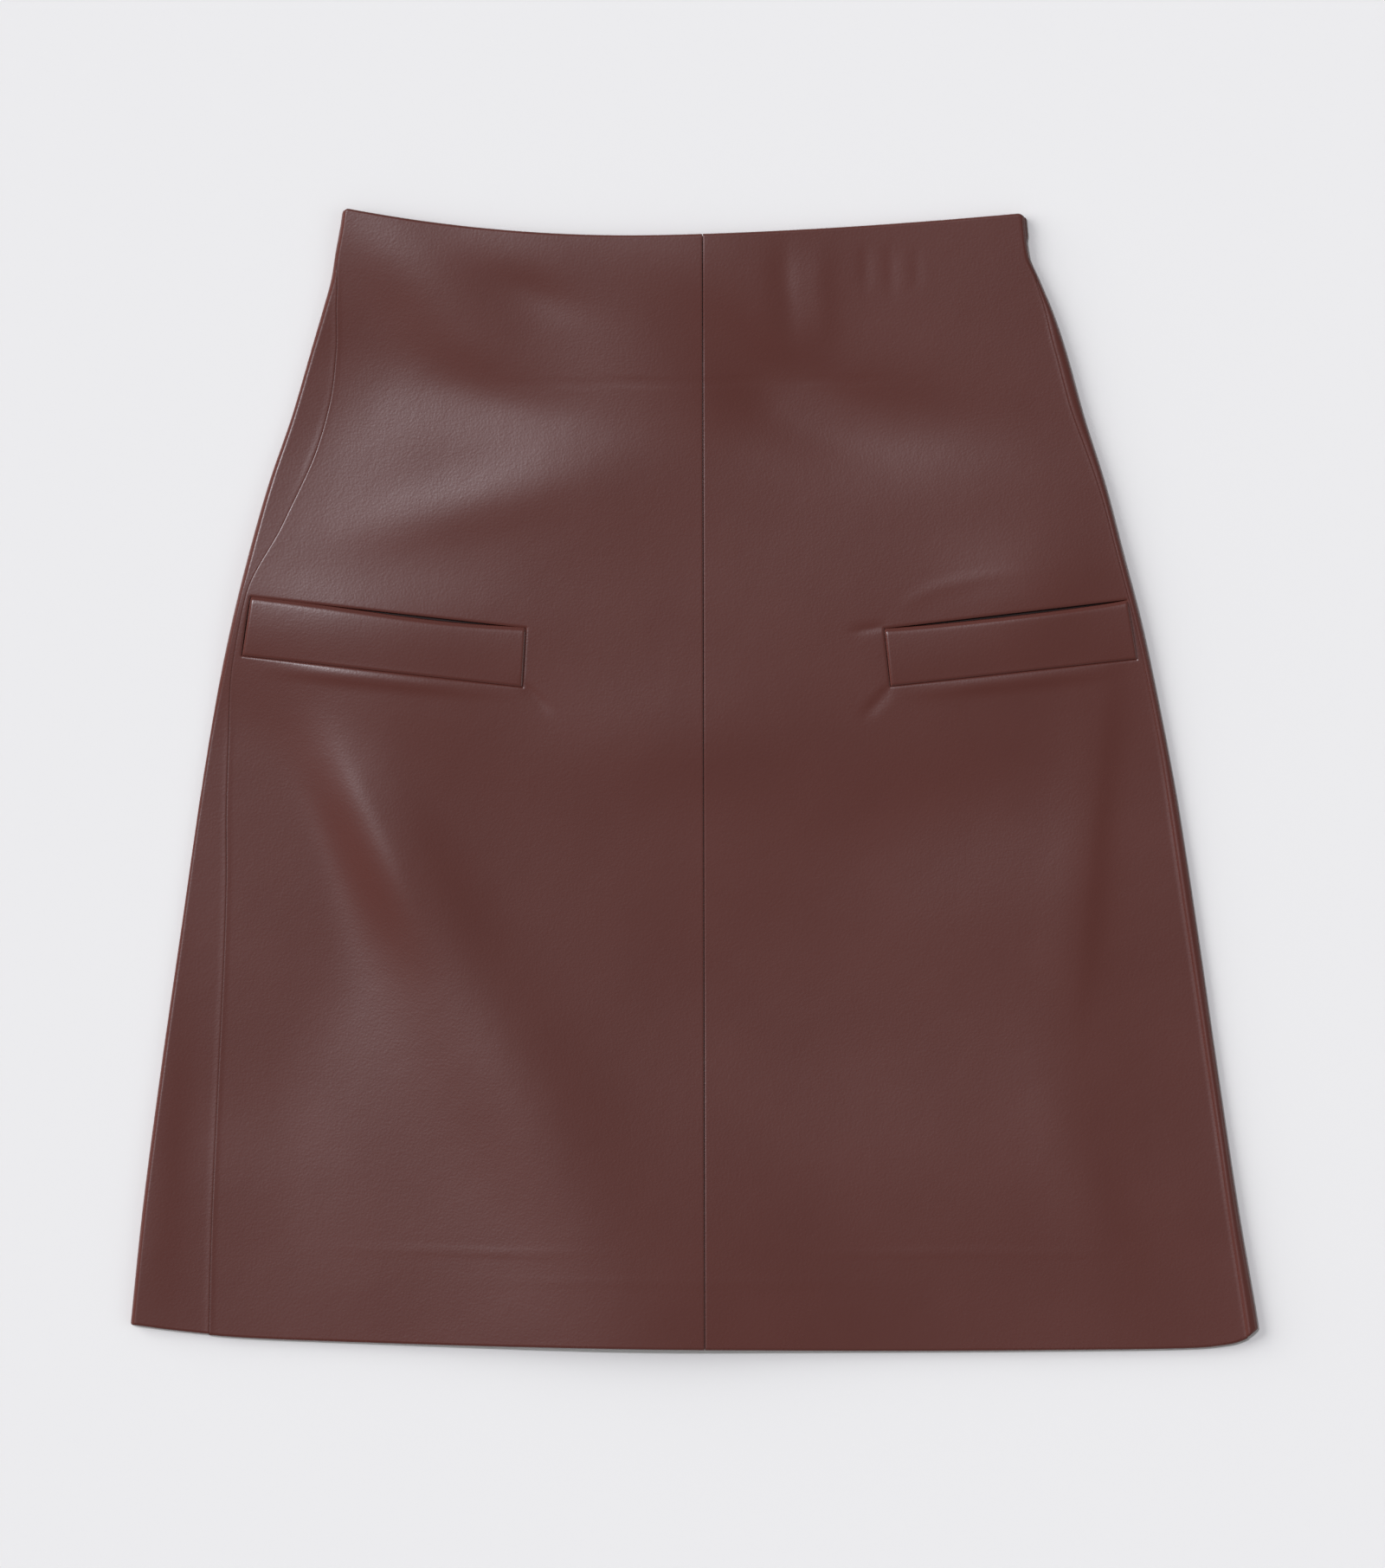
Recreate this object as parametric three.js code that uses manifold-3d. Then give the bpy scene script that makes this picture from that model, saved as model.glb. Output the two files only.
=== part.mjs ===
// A short A-line skirt in smooth leather, laid flat on its back with the front up.
// It is a real hollow tube: two front panels, two back panels that turn up round both side folds,
// two slanted welt pockets and a concealed zip in the centre back seam.
// Millimetres. +X runs to the right across the front, +Y up to the waist, +Z out of the table.
// The origin is on the table, under the middle of the skirt.
import * as THREE from "three";
import { mergeVertices } from "three/addons/utils/BufferGeometryUtils.js";
import Module from "manifold-3d";

const wasm = await Module();
wasm.setup();

// The leather and how it is sewn.
const WALL = 1.2; // thickness of one layer of backed leather
const HALF = WALL / 2;
const SEAM_GAP = 0.3; // slit between two pieces that are sewn together
const SEAM_DIP = 0.4; // how far a panel's edge is pressed down beside a seam
const SEAM_DIP_WIDTH = 1.6;
const TURNED_EXTRA = 0.8; // what a turned-in edge adds on the inside
const HEM_TURN = 43; // depth of the turned-up hem
const WAIST_TURN = 12; // depth of the turned-in waist edge
const TURN_STEP = 1.5; // length over which the turned layer ends

// The side folds.
const ROLL_LOW = 2.0; // radius with which the back turns up off the table
const ROLL_HIGH = 2.6; // run over which the front turns down into the fold
const FOLD_FREE = 12; // beside a side fold, this width is kept clear of other folds

// The back is cut a little shorter than the front at both ends.
const BACK_WAIST_SHORT = 0.8;
const BACK_HEM_SHORT = 0.5;

// Centre front seam: nearly upright, leaning a little to the right at the hem.
const CENTRE_FRONT_WAIST = 4.1;
const CENTRE_FRONT_HEM = 5.2;

// Centre back seam: in the middle of the waist, to the left of it at the hem.
const CENTRE_BACK_WAIST = -4.6;
const CENTRE_BACK_DRIFT = -12;

// The outline of the laid skirt: where the left and right folds lie at each height.
const OUTLINE = [
  { y: 290.0, left: -173.6, right: 163.2 },
  { y: 280.0, left: -174.6, right: 163.6 },
  { y: 261.0, left: -177.9, right: 165.7 },
  { y: 250.0, left: -179.6, right: 170.3 },
  { y: 233.0, left: -184.2, right: 177.4 },
  { y: 215.9, left: -189.2, right: 183.2 },
  { y: 181.5, left: -199.2, right: 192.8 },
  { y: 147.1, left: -211.0, right: 203.6 },
  { y: 112.7, left: -220.8, right: 212.6 },
  { y: 78.3, left: -229.3, right: 221.6 },
  { y: 43.9, left: -236.3, right: 229.0 },
  { y: -7.7, left: -244.9, right: 238.9 },
  { y: -76.5, left: -254.8, right: 249.6 },
  { y: -145.3, left: -264.7, right: 259.5 },
  { y: -214.1, left: -273.7, right: 269.8 },
  { y: -272.2, left: -279.7, right: 279.7 },
  { y: -290.0, left: -281.4, right: 282.2 },
];

// How high the front's outer face lies above the table: in the middle, how far out from there it
// stays level as a share of the half width, and beside the side folds.
const PUFF = [
  { y: 290, crest: 5.3, level: 0.2, side: 5.2 },
  { y: 250, crest: 5.5, level: 0.25, side: 5.3 },
  { y: 180, crest: 5.6, level: 0.3, side: 5.3 },
  { y: 80, crest: 5.7, level: 0.4, side: 5.3 },
  { y: 20, crest: 5.6, level: 0.35, side: 5.4 },
  { y: -110, crest: 5.4, level: 0.2, side: 5.3 },
  { y: -220, crest: 5.3, level: 0.1, side: 5.3 },
  { y: -290, crest: 5.2, level: 0.1, side: 5.2 },
];

// Soft ridges (height above 0) and troughs (below 0) of the front: middle, half length along the
// fold, half width across it, and the direction of the fold from +X, anticlockwise.
const FOLDS = [
  { name: "waist_hollow", x: -42, y: 236, long: 75, wide: 13, turn: -6, height: -1.2 },
  { name: "waist_ripple", x: 52, y: 244, long: 32, wide: 9, turn: 88, height: -0.8 },
  { name: "left_hip_trough", x: -140, y: 202, long: 42, wide: 11, turn: -52, height: -1.8 },
  { name: "left_hip_bend", x: -78, y: 190, long: 42, wide: 12, turn: 12, height: -1.5 },
  { name: "left_hip_ridge", x: -98, y: 152, long: 58, wide: 26, turn: 33, height: 0.6 },
  { name: "belly_ridge", x: -4, y: 180, long: 60, wide: 18, turn: 3, height: 0.5 },
  { name: "right_hip_trough", x: 98, y: 184, long: 62, wide: 13, turn: -28, height: -1.7 },
  { name: "over_left_pocket", x: -112, y: 118, long: 78, wide: 11, turn: -6, height: -1.0 },
  { name: "over_right_pocket", x: 118, y: 112, long: 58, wide: 10, turn: 14, height: -0.9 },
  { name: "under_left_pocket", x: -106, y: 6, long: 62, wide: 17, turn: -22, height: -1.5 },
  { name: "under_right_pocket", x: 86, y: 6, long: 60, wide: 17, turn: 18, height: -1.4 },
  { name: "left_flare_trough", x: -176, y: -52, long: 74, wide: 12, turn: -64, height: -1.9 },
  { name: "left_flare_ridge", x: -146, y: -66, long: 90, wide: 15, turn: -62, height: 0.7 },
  { name: "left_hem_trough", x: -182, y: -146, long: 55, wide: 11, turn: 61, height: -1.5 },
  { name: "right_flare_ridge", x: 160, y: -36, long: 52, wide: 13, turn: 60, height: 0.6 },
  { name: "right_flare_trough", x: 187, y: -72, long: 66, wide: 10, turn: 80, height: -1.8 },
  { name: "right_side_trough", x: 246, y: -186, long: 76, wide: 11, turn: -80, height: -1.3 },
  { name: "centre_valley", x: -6, y: -104, long: 130, wide: 42, turn: 90, height: -0.9 },
];

// Side seams: how far in from each fold they show on the front, and how much they stand up.
const SIDE_SEAMS = [
  { y: 290, left: 0, right: 0, leftRib: 0.3, rightRib: 0.3 },
  { y: 262, left: 0.4, right: 0, leftRib: 0.5, rightRib: 0.4 },
  { y: 240, left: 4.5, right: 2.0, leftRib: 0.9, rightRib: 0.8 },
  { y: 215, left: 11.5, right: 5.0, leftRib: 1.1, rightRib: 1.0 },
  { y: 190, left: 15.5, right: 5.0, leftRib: 1.0, rightRib: 0.8 },
  { y: 165, left: 16.5, right: 2.5, leftRib: 0.5, rightRib: 0.4 },
  { y: 130, left: 12.0, right: 0, leftRib: 0.2, rightRib: 0.2 },
  { y: 92, left: 3.2, right: 0, leftRib: 0.2, rightRib: 0.2 },
  { y: 60, left: 4.0, right: 0, leftRib: 0.2, rightRib: 0.2 },
  { y: 20, left: 9.0, right: 0, leftRib: 0.2, rightRib: 0.3 },
  { y: -15, left: 13.5, right: 3.5, leftRib: 0.3, rightRib: 0.6 },
  { y: -50, left: 18.5, right: 4.8, leftRib: 0.4, rightRib: 0.9 },
  { y: -160, left: 29.5, right: 5.2, leftRib: 0.4, rightRib: 1.0 },
  { y: -290, left: 40.0, right: 7.0, leftRib: 0.4, rightRib: 1.0 },
];
const RIB_WIDTH = 3.5;

// Waist edge of the front: lowest a little left of the middle, rising to both rounded corners.
const WAIST_EDGE = {
  lowX: -31,
  lowY: 271.0,
  leftRun: 141,
  leftRise: 13.3,
  leftPower: 2,
  rightRun: 191,
  rightRise: 10.8,
  rightPower: 1.6,
  corner: 3.2,
};

// Hem edge of the front, from the left fold to the right one, where it is rounded up.
const HEM_EDGE = [
  { x: -300, y: -269.0 },
  { x: -279.0, y: -270.8 },
  { x: -258.9, y: -273.4 },
  { x: -224.5, y: -276.6 },
  { x: -172.9, y: -278.7 },
  { x: -86.9, y: -281.2 },
  { x: 4.3, y: -282.7 },
  { x: 106.6, y: -283.2 },
  { x: 214.1, y: -282.5 },
  { x: 248.5, y: -281.8 },
  { x: 265.7, y: -280.0 },
  { x: 273.0, y: -277.8 },
  { x: 279.7, y: -273.0 },
  { x: 284.0, y: -268.4 },
];

// Pocket welts: the four corners of each, and the mouth left open above it.
const WELTS = {
  left: {
    outerTop: [-220.4, 91.4],
    innerTop: [-83.6, 75.9],
    outerLow: [-224.7, 62.2],
    innerLow: [-85.3, 46.6],
  },
  right: {
    outerTop: [215.6, 90.0],
    innerTop: [94.4, 75.6],
    outerLow: [220.4, 60.6],
    innerLow: [97.4, 47.0],
  },
};
const MOUTH_END = 0.5; // width of the mouth at its ends
const MOUTH_MIDDLE = 3.2;
const MOUTH_POWER = 0.8; // how fast it opens from its ends
const WELT_RAISE = 0.5; // the folded strip stands this much proud of the panel
const WELT_UNDER = 1.0; // its second layer, under the panel's own thickness
const WELT_COLUMNS = 16;
const WELT_ROWS = 5;
const FACING_DROP = 0.3; // the strip of leather behind the mouth lies this far under the welt
const FACING_WALL = 1.0;
const FACING_OUTER = 0.04; // its ends, as shares of the way from the welt's outer end to its inner end
const FACING_INNER = 0.97;
const FACING_ABOVE = 7; // how far it reaches above and below the mouth
const FACING_BELOW = 11;
const FACING_ROWS = 2;

// The concealed zip's slider and pull tab, under the back near the waist.
const ZIP = {
  down: 18, // below the back waist edge
  axisZ: 1.15,
  pinRadius: 0.4,
  pinLength: 4.4,
  neckWidth: 1.0,
  neckLength: 3.0,
  bodyWidth: 5.0,
  bodyLength: 8.0,
  bodyHeight: 1.5,
  slotWidth: 1.8,
  slotLength: 4.4,
};
const TAB = {
  length: 22,
  width: 5,
  shoulder: 1, // narrowing of the plate on each side beside the slider
  thick: 0.9,
  eyeRadius: 0.9,
  eyeLength: 3,
  slotWidth: 1.7,
  slotLength: 3.4,
  play: 0.15,
};
// Both layers are lifted round them: the back by this height off the table, the front by a share of it.
const LIFT = { height: 2.4, levelX: 5, levelY: 14, fade: 20, back: 9, frontShare: 0.92 };

const FRONT_COLUMNS = 20;
const BACK_COLUMNS = 12;
const PANEL_ROWS = 30;
const FOLD_COLUMNS = 8; // close columns round a side fold
const FOLD_REACH = 9; // how far they reach to each side of it
const WIDE_SHARE = 0.8; // share of a back panel's other columns that lie on its wide side of the fold
const ROW_APART = 0.4; // a row closer to the edge of a turned-in layer than this share of a step is left out
const FOLD_PASSES = 12; // rounds in which a row's ends settle on the outline
const RING_STEPS = 150; // points along the level part of a ring
const ROLL_STEPS = 10; // points round each quarter of a fold
const NORMAL_REACH = 0.6; // how far to each side the wall's direction is measured
const CUT_THROUGH = 20; // a cutting block reaches this far, past every wall
const ROD_SIDES = 16;

// A smooth curve through one column of a table, with no overshoot between its rows.
function curve(rows, key, column) {
  const ordered = [...rows].sort((a, b) => a[key] - b[key]);
  const xs = ordered.map((r) => r[key]);
  const ys = ordered.map((r) => r[column]);
  const slopes = xs.slice(1).map((x, i) => (ys[i + 1] - ys[i]) / (x - xs[i]));
  const tangents = xs.map((_, i) => {
    const before = slopes[Math.max(i - 1, 0)];
    const after = slopes[Math.min(i, slopes.length - 1)];
    return before * after <= 0 ? 0 : (2 * before * after) / (before + after);
  });
  return (at) => {
    const x = Math.min(Math.max(at, xs[0]), xs[xs.length - 1]);
    let i = 0;
    while (i < xs.length - 2 && x > xs[i + 1]) i++;
    const run = xs[i + 1] - xs[i];
    const t = (x - xs[i]) / run;
    const s = 1 - t;
    return (
      ys[i] * s * s * (1 + 2 * t) +
      tangents[i] * run * t * s * s +
      ys[i + 1] * t * t * (3 - 2 * t) -
      tangents[i + 1] * run * s * t * t
    );
  };
}

const outlineLeft = curve(OUTLINE, "y", "left");
const outlineRight = curve(OUTLINE, "y", "right");
const crestAt = curve(PUFF, "y", "crest");
const levelAt = curve(PUFF, "y", "level");
const sideAt = curve(PUFF, "y", "side");
const seamLeftAt = curve(SIDE_SEAMS, "y", "left");
const seamRightAt = curve(SIDE_SEAMS, "y", "right");
const ribLeftAt = curve(SIDE_SEAMS, "y", "leftRib");
const ribRightAt = curve(SIDE_SEAMS, "y", "rightRib");
const hemAt = curve(HEM_EDGE, "x", "y");

const counted = (length, make) => Array.from({ length }, (_, i) => make(i));
const clamp01 = (t) => Math.min(Math.max(t, 0), 1);
const smooth = (t) => clamp01(t) ** 2 * (3 - 2 * clamp01(t));

// Waist edge of the front at a place across it.
function waistAt(x) {
  const w = WAIST_EDGE;
  const across = x - w.lowX;
  const rise =
    across < 0
      ? w.leftRise * (-across / w.leftRun) ** w.leftPower
      : w.rightRise * (across / w.rightRun) ** w.rightPower;
  const y = w.lowY + rise;
  const inside = Math.min(x - outlineLeft(y), outlineRight(y) - x);
  const round = clamp01(1 - inside / w.corner);
  return y - w.corner * (1 - Math.sqrt(1 - round * round));
}

const centreFrontAt = (v) => CENTRE_FRONT_WAIST + (CENTRE_FRONT_HEM - CENTRE_FRONT_WAIST) * v;
const centreBackAt = (v) => CENTRE_BACK_WAIST + CENTRE_BACK_DRIFT * v * v;

// Height up the back of the zip's pin.
const zipY = waistAt(CENTRE_BACK_WAIST) - BACK_WAIST_SHORT - ZIP.down;

// How far the back is lifted off the table round the zip's slider.
function liftAt(x, y) {
  const awayX = Math.max(Math.abs(x - CENTRE_BACK_WAIST) - LIFT.levelX, 0) / LIFT.fade;
  const awayY = Math.max(Math.abs(y - (zipY - LIFT.back)) - LIFT.levelY, 0) / LIFT.fade;
  return LIFT.height * (1 - smooth(Math.hypot(awayX, awayY)));
}

// One soft ridge or trough.
function fold(f, x, y) {
  const turn = THREE.MathUtils.degToRad(f.turn);
  const along = ((x - f.x) * Math.cos(turn) + (y - f.y) * Math.sin(turn)) / f.long;
  const across = ((y - f.y) * Math.cos(turn) - (x - f.x) * Math.sin(turn)) / f.wide;
  return f.height * Math.exp(-along * along - across * across);
}

// Height of the front's outer face above the table, before it turns down into the side folds.
function reliefAt(x, y) {
  const left = outlineLeft(y);
  const right = outlineRight(y);
  const middle = (CENTRE_FRONT_WAIST + CENTRE_FRONT_HEM) / 2;
  const out = x < middle ? (middle - x) / (middle - left) : (x - middle) / (right - middle);
  const level = levelAt(y);
  const fall = (1 + Math.cos(Math.PI * clamp01((out - level) / (1 - level)))) / 2;
  const free = smooth(Math.min(x - left, right - x) / FOLD_FREE);
  const folds = FOLDS.reduce((sum, f) => sum + fold(f, x, y), 0) * free;
  const ribLeft = ribLeftAt(y) * Math.exp(-(((x - left - seamLeftAt(y)) / RIB_WIDTH) ** 2));
  const ribRight = ribRightAt(y) * Math.exp(-(((right - seamRightAt(y) - x) / RIB_WIDTH) ** 2));
  const lift = LIFT.frontShare * liftAt(x, y);
  return sideAt(y) + (crestAt(y) - sideAt(y)) * fall + folds + lift + ribLeft + ribRight;
}

// Height of the middle of the front's wall: the relief, turned down in a quarter ellipse at each fold.
function frontMid(x, y) {
  const inside = Math.min(x - outlineLeft(y), outlineRight(y) - x);
  const edge = HALF + ROLL_LOW;
  const top = reliefAt(x, y) - HALF;
  const round = clamp01(1 - inside / ROLL_HIGH);
  return edge + (top - edge) * Math.sqrt(1 - round * round);
}

// Height of the middle of the back's wall: flat on the table, turned up in a quarter circle at each fold.
function backMid(x, y) {
  const inside = Math.min(x - outlineLeft(y), outlineRight(y) - x);
  const round = clamp01(1 - inside / ROLL_LOW);
  return HALF + ROLL_LOW * (1 - Math.sqrt(1 - round * round)) + liftAt(x, y);
}

// Where the row v crosses x: 0 is the waist edge, 1 the hem.
function rowY(x, v, cut) {
  return (waistAt(x) - cut.waist) * (1 - v) + (hemAt(x) + cut.hem) * v;
}

// One ring of the tube at row v: the middle of the wall from the left fold over the front to the
// right fold and back underneath, as points with their distance along the ring.
function ring(v, cut) {
  let left = outlineLeft(0);
  let right = outlineRight(0);
  for (let i = 0; i < FOLD_PASSES; i++) {
    left = outlineLeft(rowY(left, v, cut));
    right = outlineRight(rowY(right, v, cut));
  }
  const stations = (run) => {
    const quarter = counted(ROLL_STEPS, (i) => run * (1 - Math.cos((i * Math.PI) / 2 / ROLL_STEPS)));
    const step = (right - left - 2 * run) / RING_STEPS;
    const level = counted(RING_STEPS + 1, (i) => left + run + step * i);
    return [...quarter.map((d) => left + d), ...level, ...quarter.reverse().map((d) => right - d)];
  };
  const front = stations(ROLL_HIGH).map((x) => new THREE.Vector3(x, rowY(x, v, cut), 0));
  front.forEach((p) => (p.z = frontMid(p.x, p.y)));
  const back = stations(ROLL_LOW)
    .reverse()
    .map((x) => new THREE.Vector3(x, rowY(x, v, cut), 0));
  back.forEach((p) => (p.z = backMid(p.x, p.y)));
  const points = [...front, ...back.slice(1)];
  const lengths = [0];
  for (let i = 1; i < points.length; i++) lengths.push(lengths[i - 1] + points[i].distanceTo(points[i - 1]));
  return { points, lengths, frontEnd: front.length - 1, left, right };
}

// The point of a ring at a distance along it, which may run past either end of the ring.
function pointOn(ringLine, distance) {
  const { points, lengths } = ringLine;
  const whole = lengths[lengths.length - 1];
  const at = ((distance % whole) + whole) % whole;
  let low = 0;
  let high = lengths.length - 1;
  while (high - low > 1) {
    const mid = (low + high) >> 1;
    if (lengths[mid] <= at) low = mid;
    else high = mid;
  }
  const t = (at - lengths[low]) / (lengths[high] - lengths[low]);
  return points[low].clone().lerp(points[high], t);
}

// The distance along a ring at which its front, or its back, crosses x.
function lengthAtX(ringLine, x, onFront) {
  const { points, lengths, frontEnd } = ringLine;
  const from = onFront ? 0 : frontEnd;
  const to = onFront ? frontEnd : points.length - 1;
  for (let i = from; i < to; i++) {
    const [a, b] = [points[i].x, points[i + 1].x];
    if ((a <= x && x <= b) || (b <= x && x <= a)) {
      return lengths[i] + ((x - a) / (b - a || 1)) * (lengths[i + 1] - lengths[i]);
    }
  }
  return lengths[onFront ? 0 : frontEnd];
}

// Shares of the way from waist to hem: even rows, with a pair where each turned-in layer ends.
function rowShares() {
  const length = WAIST_EDGE.lowY - hemAt(0);
  const steps = [WAIST_TURN, WAIST_TURN + TURN_STEP, length - HEM_TURN - TURN_STEP, length - HEM_TURN];
  const even = counted(PANEL_ROWS + 1, (i) => i / PANEL_ROWS);
  const turned = steps.map((s) => s / length);
  const clear = even.filter((e) => turned.every((t) => Math.abs(e - t) > ROW_APART / PANEL_ROWS));
  return [...clear, ...turned].sort((a, b) => a - b);
}

// Extra thickness inside a wall where its edge is turned in.
function turnedAt(v) {
  const length = WAIST_EDGE.lowY - hemAt(0);
  const fromWaist = v * length;
  const fromHem = (1 - v) * length;
  const nearWaist = 1 - clamp01((fromWaist - WAIST_TURN) / TURN_STEP);
  const nearHem = 1 - clamp01((fromHem - HEM_TURN) / TURN_STEP);
  return TURNED_EXTRA * Math.max(nearWaist, nearHem);
}

// A geometry from its points and triangles.
function closedGeometry(numbers, faces) {
  const geometry = new THREE.BufferGeometry();
  geometry.setAttribute("position", new THREE.Float32BufferAttribute(numbers, 3));
  geometry.setIndex(faces);
  return geometry;
}

// A closed wall between an outer and an inner grid of points.
function wallGeometry(outer, inner) {
  const rows = outer.length;
  const columns = outer[0].length;
  const points = [...outer.flat(), ...inner.flat()];
  const last = columns - 1;
  const at = (side, i, j) => side * rows * columns + i * columns + j;
  const faces = [];
  const quad = (a, b, c, d) => faces.push(a, b, c, a, c, d);
  for (let i = 0; i + 1 < rows; i++) {
    for (let j = 0; j + 1 < columns; j++) {
      quad(at(0, i, j), at(0, i + 1, j), at(0, i + 1, j + 1), at(0, i, j + 1));
      quad(at(1, i, j), at(1, i, j + 1), at(1, i + 1, j + 1), at(1, i + 1, j));
    }
    quad(at(0, i, 0), at(1, i, 0), at(1, i + 1, 0), at(0, i + 1, 0));
    quad(at(0, i, last), at(0, i + 1, last), at(1, i + 1, last), at(1, i, last));
  }
  for (let j = 0; j + 1 < columns; j++) {
    quad(at(0, 0, j), at(0, 0, j + 1), at(1, 0, j + 1), at(1, 0, j));
    quad(at(0, rows - 1, j), at(1, rows - 1, j), at(1, rows - 1, j + 1), at(0, rows - 1, j + 1));
  }
  return closedGeometry(
    points.flatMap((p) => [p.x, p.y, p.z]),
    faces,
  );
}

// The wall of one panel: rows of points between two distances along each ring, thickened along
// its normals.
function panel({ columns, cut, from, to, folds }) {
  const shares = rowShares();
  const lines = shares.map((v) => ring(v, cut));
  const places = lines.map((line, i) => {
    const start = from(line, shares[i]) + SEAM_GAP / 2;
    const end = to(line, shares[i]) - SEAM_GAP / 2;
    return columnLengths(start, end, columns, folds(line));
  });
  const grid = places.map((row, i) => row.map((s) => pointOn(lines[i], s)));
  const outer = [];
  const inner = [];
  grid.forEach((row, i) => {
    const normals = row.map((_, j) => {
      const s = places[i][j];
      const across = pointOn(lines[i], s + NORMAL_REACH).sub(pointOn(lines[i], s - NORMAL_REACH));
      const down = grid[Math.min(i + 1, grid.length - 1)][j].clone().sub(grid[Math.max(i - 1, 0)][j]);
      return down.cross(across).normalize();
    });
    const last = row.length - 1;
    const dipped = (j) => (j === 0 || j === last ? SEAM_DIP : 0);
    outer.push(row.map((p, j) => p.clone().addScaledVector(normals[j], HALF - dipped(j))));
    inner.push(row.map((p, j) => p.clone().addScaledVector(normals[j], -HALF - turnedAt(shares[i]))));
  });
  return wallGeometry(outer, inner);
}

// Distances along a ring for a panel's columns: a narrow one beside each seam, even ones between,
// and a close set round the fold that the panel turns about, if it has one.
function columnLengths(start, end, columns, foldLength) {
  const first = start + SEAM_DIP_WIDTH;
  const last = end - SEAM_DIP_WIDTH;
  const spread = (a, b, n) => counted(n, (i) => a + ((b - a) * i) / n);
  if (foldLength === null) return [start, ...spread(first, last, columns), last, end];
  const low = Math.max(foldLength - FOLD_REACH, first + SEAM_GAP);
  const high = Math.min(foldLength + FOLD_REACH, last - SEAM_GAP);
  const wideFirst = foldLength - start > end - foldLength;
  const before = Math.round(columns * (wideFirst ? WIDE_SHARE : 1 - WIDE_SHARE));
  return [
    start,
    ...spread(first, low, before),
    ...spread(low, high, FOLD_COLUMNS),
    ...spread(high, last, columns - before),
    last,
    end,
  ];
}

// How much shorter the front and the back are cut at the waist and at the hem.
const FRONT_CUT = { waist: 0, hem: 0 };
const BACK_CUT = { waist: BACK_WAIST_SHORT, hem: BACK_HEM_SHORT };

// Distances along a ring of the four seams.
const leftSeam = (line) => lengthAtX(line, line.left + seamLeftAt(line.points[0].y), true);
const rightSeam = (line) => lengthAtX(line, line.right - seamRightAt(line.points[line.frontEnd].y), true);
const centreFront = (line, v) => lengthAtX(line, centreFrontAt(v), true);
const centreBack = (line, v) => lengthAtX(line, centreBackAt(v), false);
const wholeRing = (line) => line.lengths[line.lengths.length - 1];

// A solid for cutting, made from a closed geometry.
function solid(geometry) {
  const bare = geometry.clone();
  bare.deleteAttribute("normal");
  bare.deleteAttribute("uv");
  const merged = mergeVertices(bare, 1e-4);
  return new wasm.Manifold(
    new wasm.Mesh({
      numProp: 3,
      vertProperties: new Float32Array(merged.attributes.position.array),
      triVerts: new Uint32Array(merged.index.array),
    }),
  );
}

// The geometry of a cut solid.
function geometryOf(cut) {
  const mesh = cut.getMesh();
  return closedGeometry(Array.from(mesh.vertProperties), Array.from(mesh.triVerts));
}

// A point of a welt's outline: across 0 is its outer end, 1 its inner end; down 0 is its top, 1 its foot.
function weltPoint(w, across, down) {
  const mix = (a, b, t) => [a[0] + (b[0] - a[0]) * t, a[1] + (b[1] - a[1]) * t];
  return mix(mix(w.outerTop, w.innerTop, across), mix(w.outerLow, w.innerLow, across), down);
}

// Width of the pocket's mouth along it.
function mouthAt(across) {
  return MOUTH_END + (MOUTH_MIDDLE - MOUTH_END) * Math.sin(Math.PI * across) ** MOUTH_POWER;
}

// A patch that follows the front between two offsets from the middle of its wall.
function patch(columns, rows, place, topOffset, lowOffset) {
  const grid = (offset) =>
    counted(rows + 1, (i) =>
      counted(columns + 1, (j) => {
        const [x, y] = place(j / columns, i / rows);
        return new THREE.Vector3(x, y, frontMid(x, y) + offset(j / columns, i / rows));
      }),
    );
  return { top: grid(topOffset), low: grid(lowOffset) };
}

// The wall of a patch; on the right side its columns run the other way.
function patchGeometry({ top, low }, mirrored) {
  const turned = (grid) => (mirrored ? grid.map((row) => [...row].reverse()) : grid);
  return wallGeometry(turned(top), turned(low));
}

// The folded strip of a welt pocket.
function weltGeometry(w, mirrored) {
  const place = (across, down) => {
    const [x, y] = weltPoint(w, across, down);
    return [x, y - mouthAt(across) * (1 - down)];
  };
  const top = (across, down) => {
    const onEdge = across === 0 || across === 1 || down === 0 || down === 1;
    return HALF + WELT_RAISE - (onEdge ? SEAM_DIP : 0);
  };
  const low = () => -HALF - WELT_UNDER;
  return patchGeometry(patch(WELT_COLUMNS, WELT_ROWS, place, top, low), mirrored);
}

// The strip of leather that is seen inside a pocket's mouth.
function facingGeometry(w, mirrored) {
  const place = (across, down) => {
    const [x, y] = weltPoint(w, FACING_OUTER + (FACING_INNER - FACING_OUTER) * across, 0);
    return [x, y + FACING_ABOVE - (FACING_ABOVE + FACING_BELOW) * down];
  };
  const under = -HALF - WELT_UNDER - FACING_DROP;
  const top = () => under;
  const low = () => under - FACING_WALL;
  return patchGeometry(patch(WELT_COLUMNS, FACING_ROWS, place, top, low), mirrored);
}

// The upright block that cuts a welt's window out of the front: the welt's outline, wider by the
// seam gap at its foot and both ends.
function windowSolid(w) {
  const [middle] = weltPoint(w, 0.5, 0.5);
  const corners = [
    [0, 0],
    [1, 0],
    [1, 1],
    [0, 1],
  ].map(([across, down]) => {
    const [x, y] = weltPoint(w, across, down);
    return new THREE.Vector2(x + Math.sign(x - middle) * SEAM_GAP, y - down * SEAM_GAP);
  });
  const shape = new THREE.Shape(corners);
  return solid(new THREE.ExtrudeGeometry(shape, { depth: CUT_THROUGH, bevelEnabled: false, steps: 1 }));
}

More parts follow.
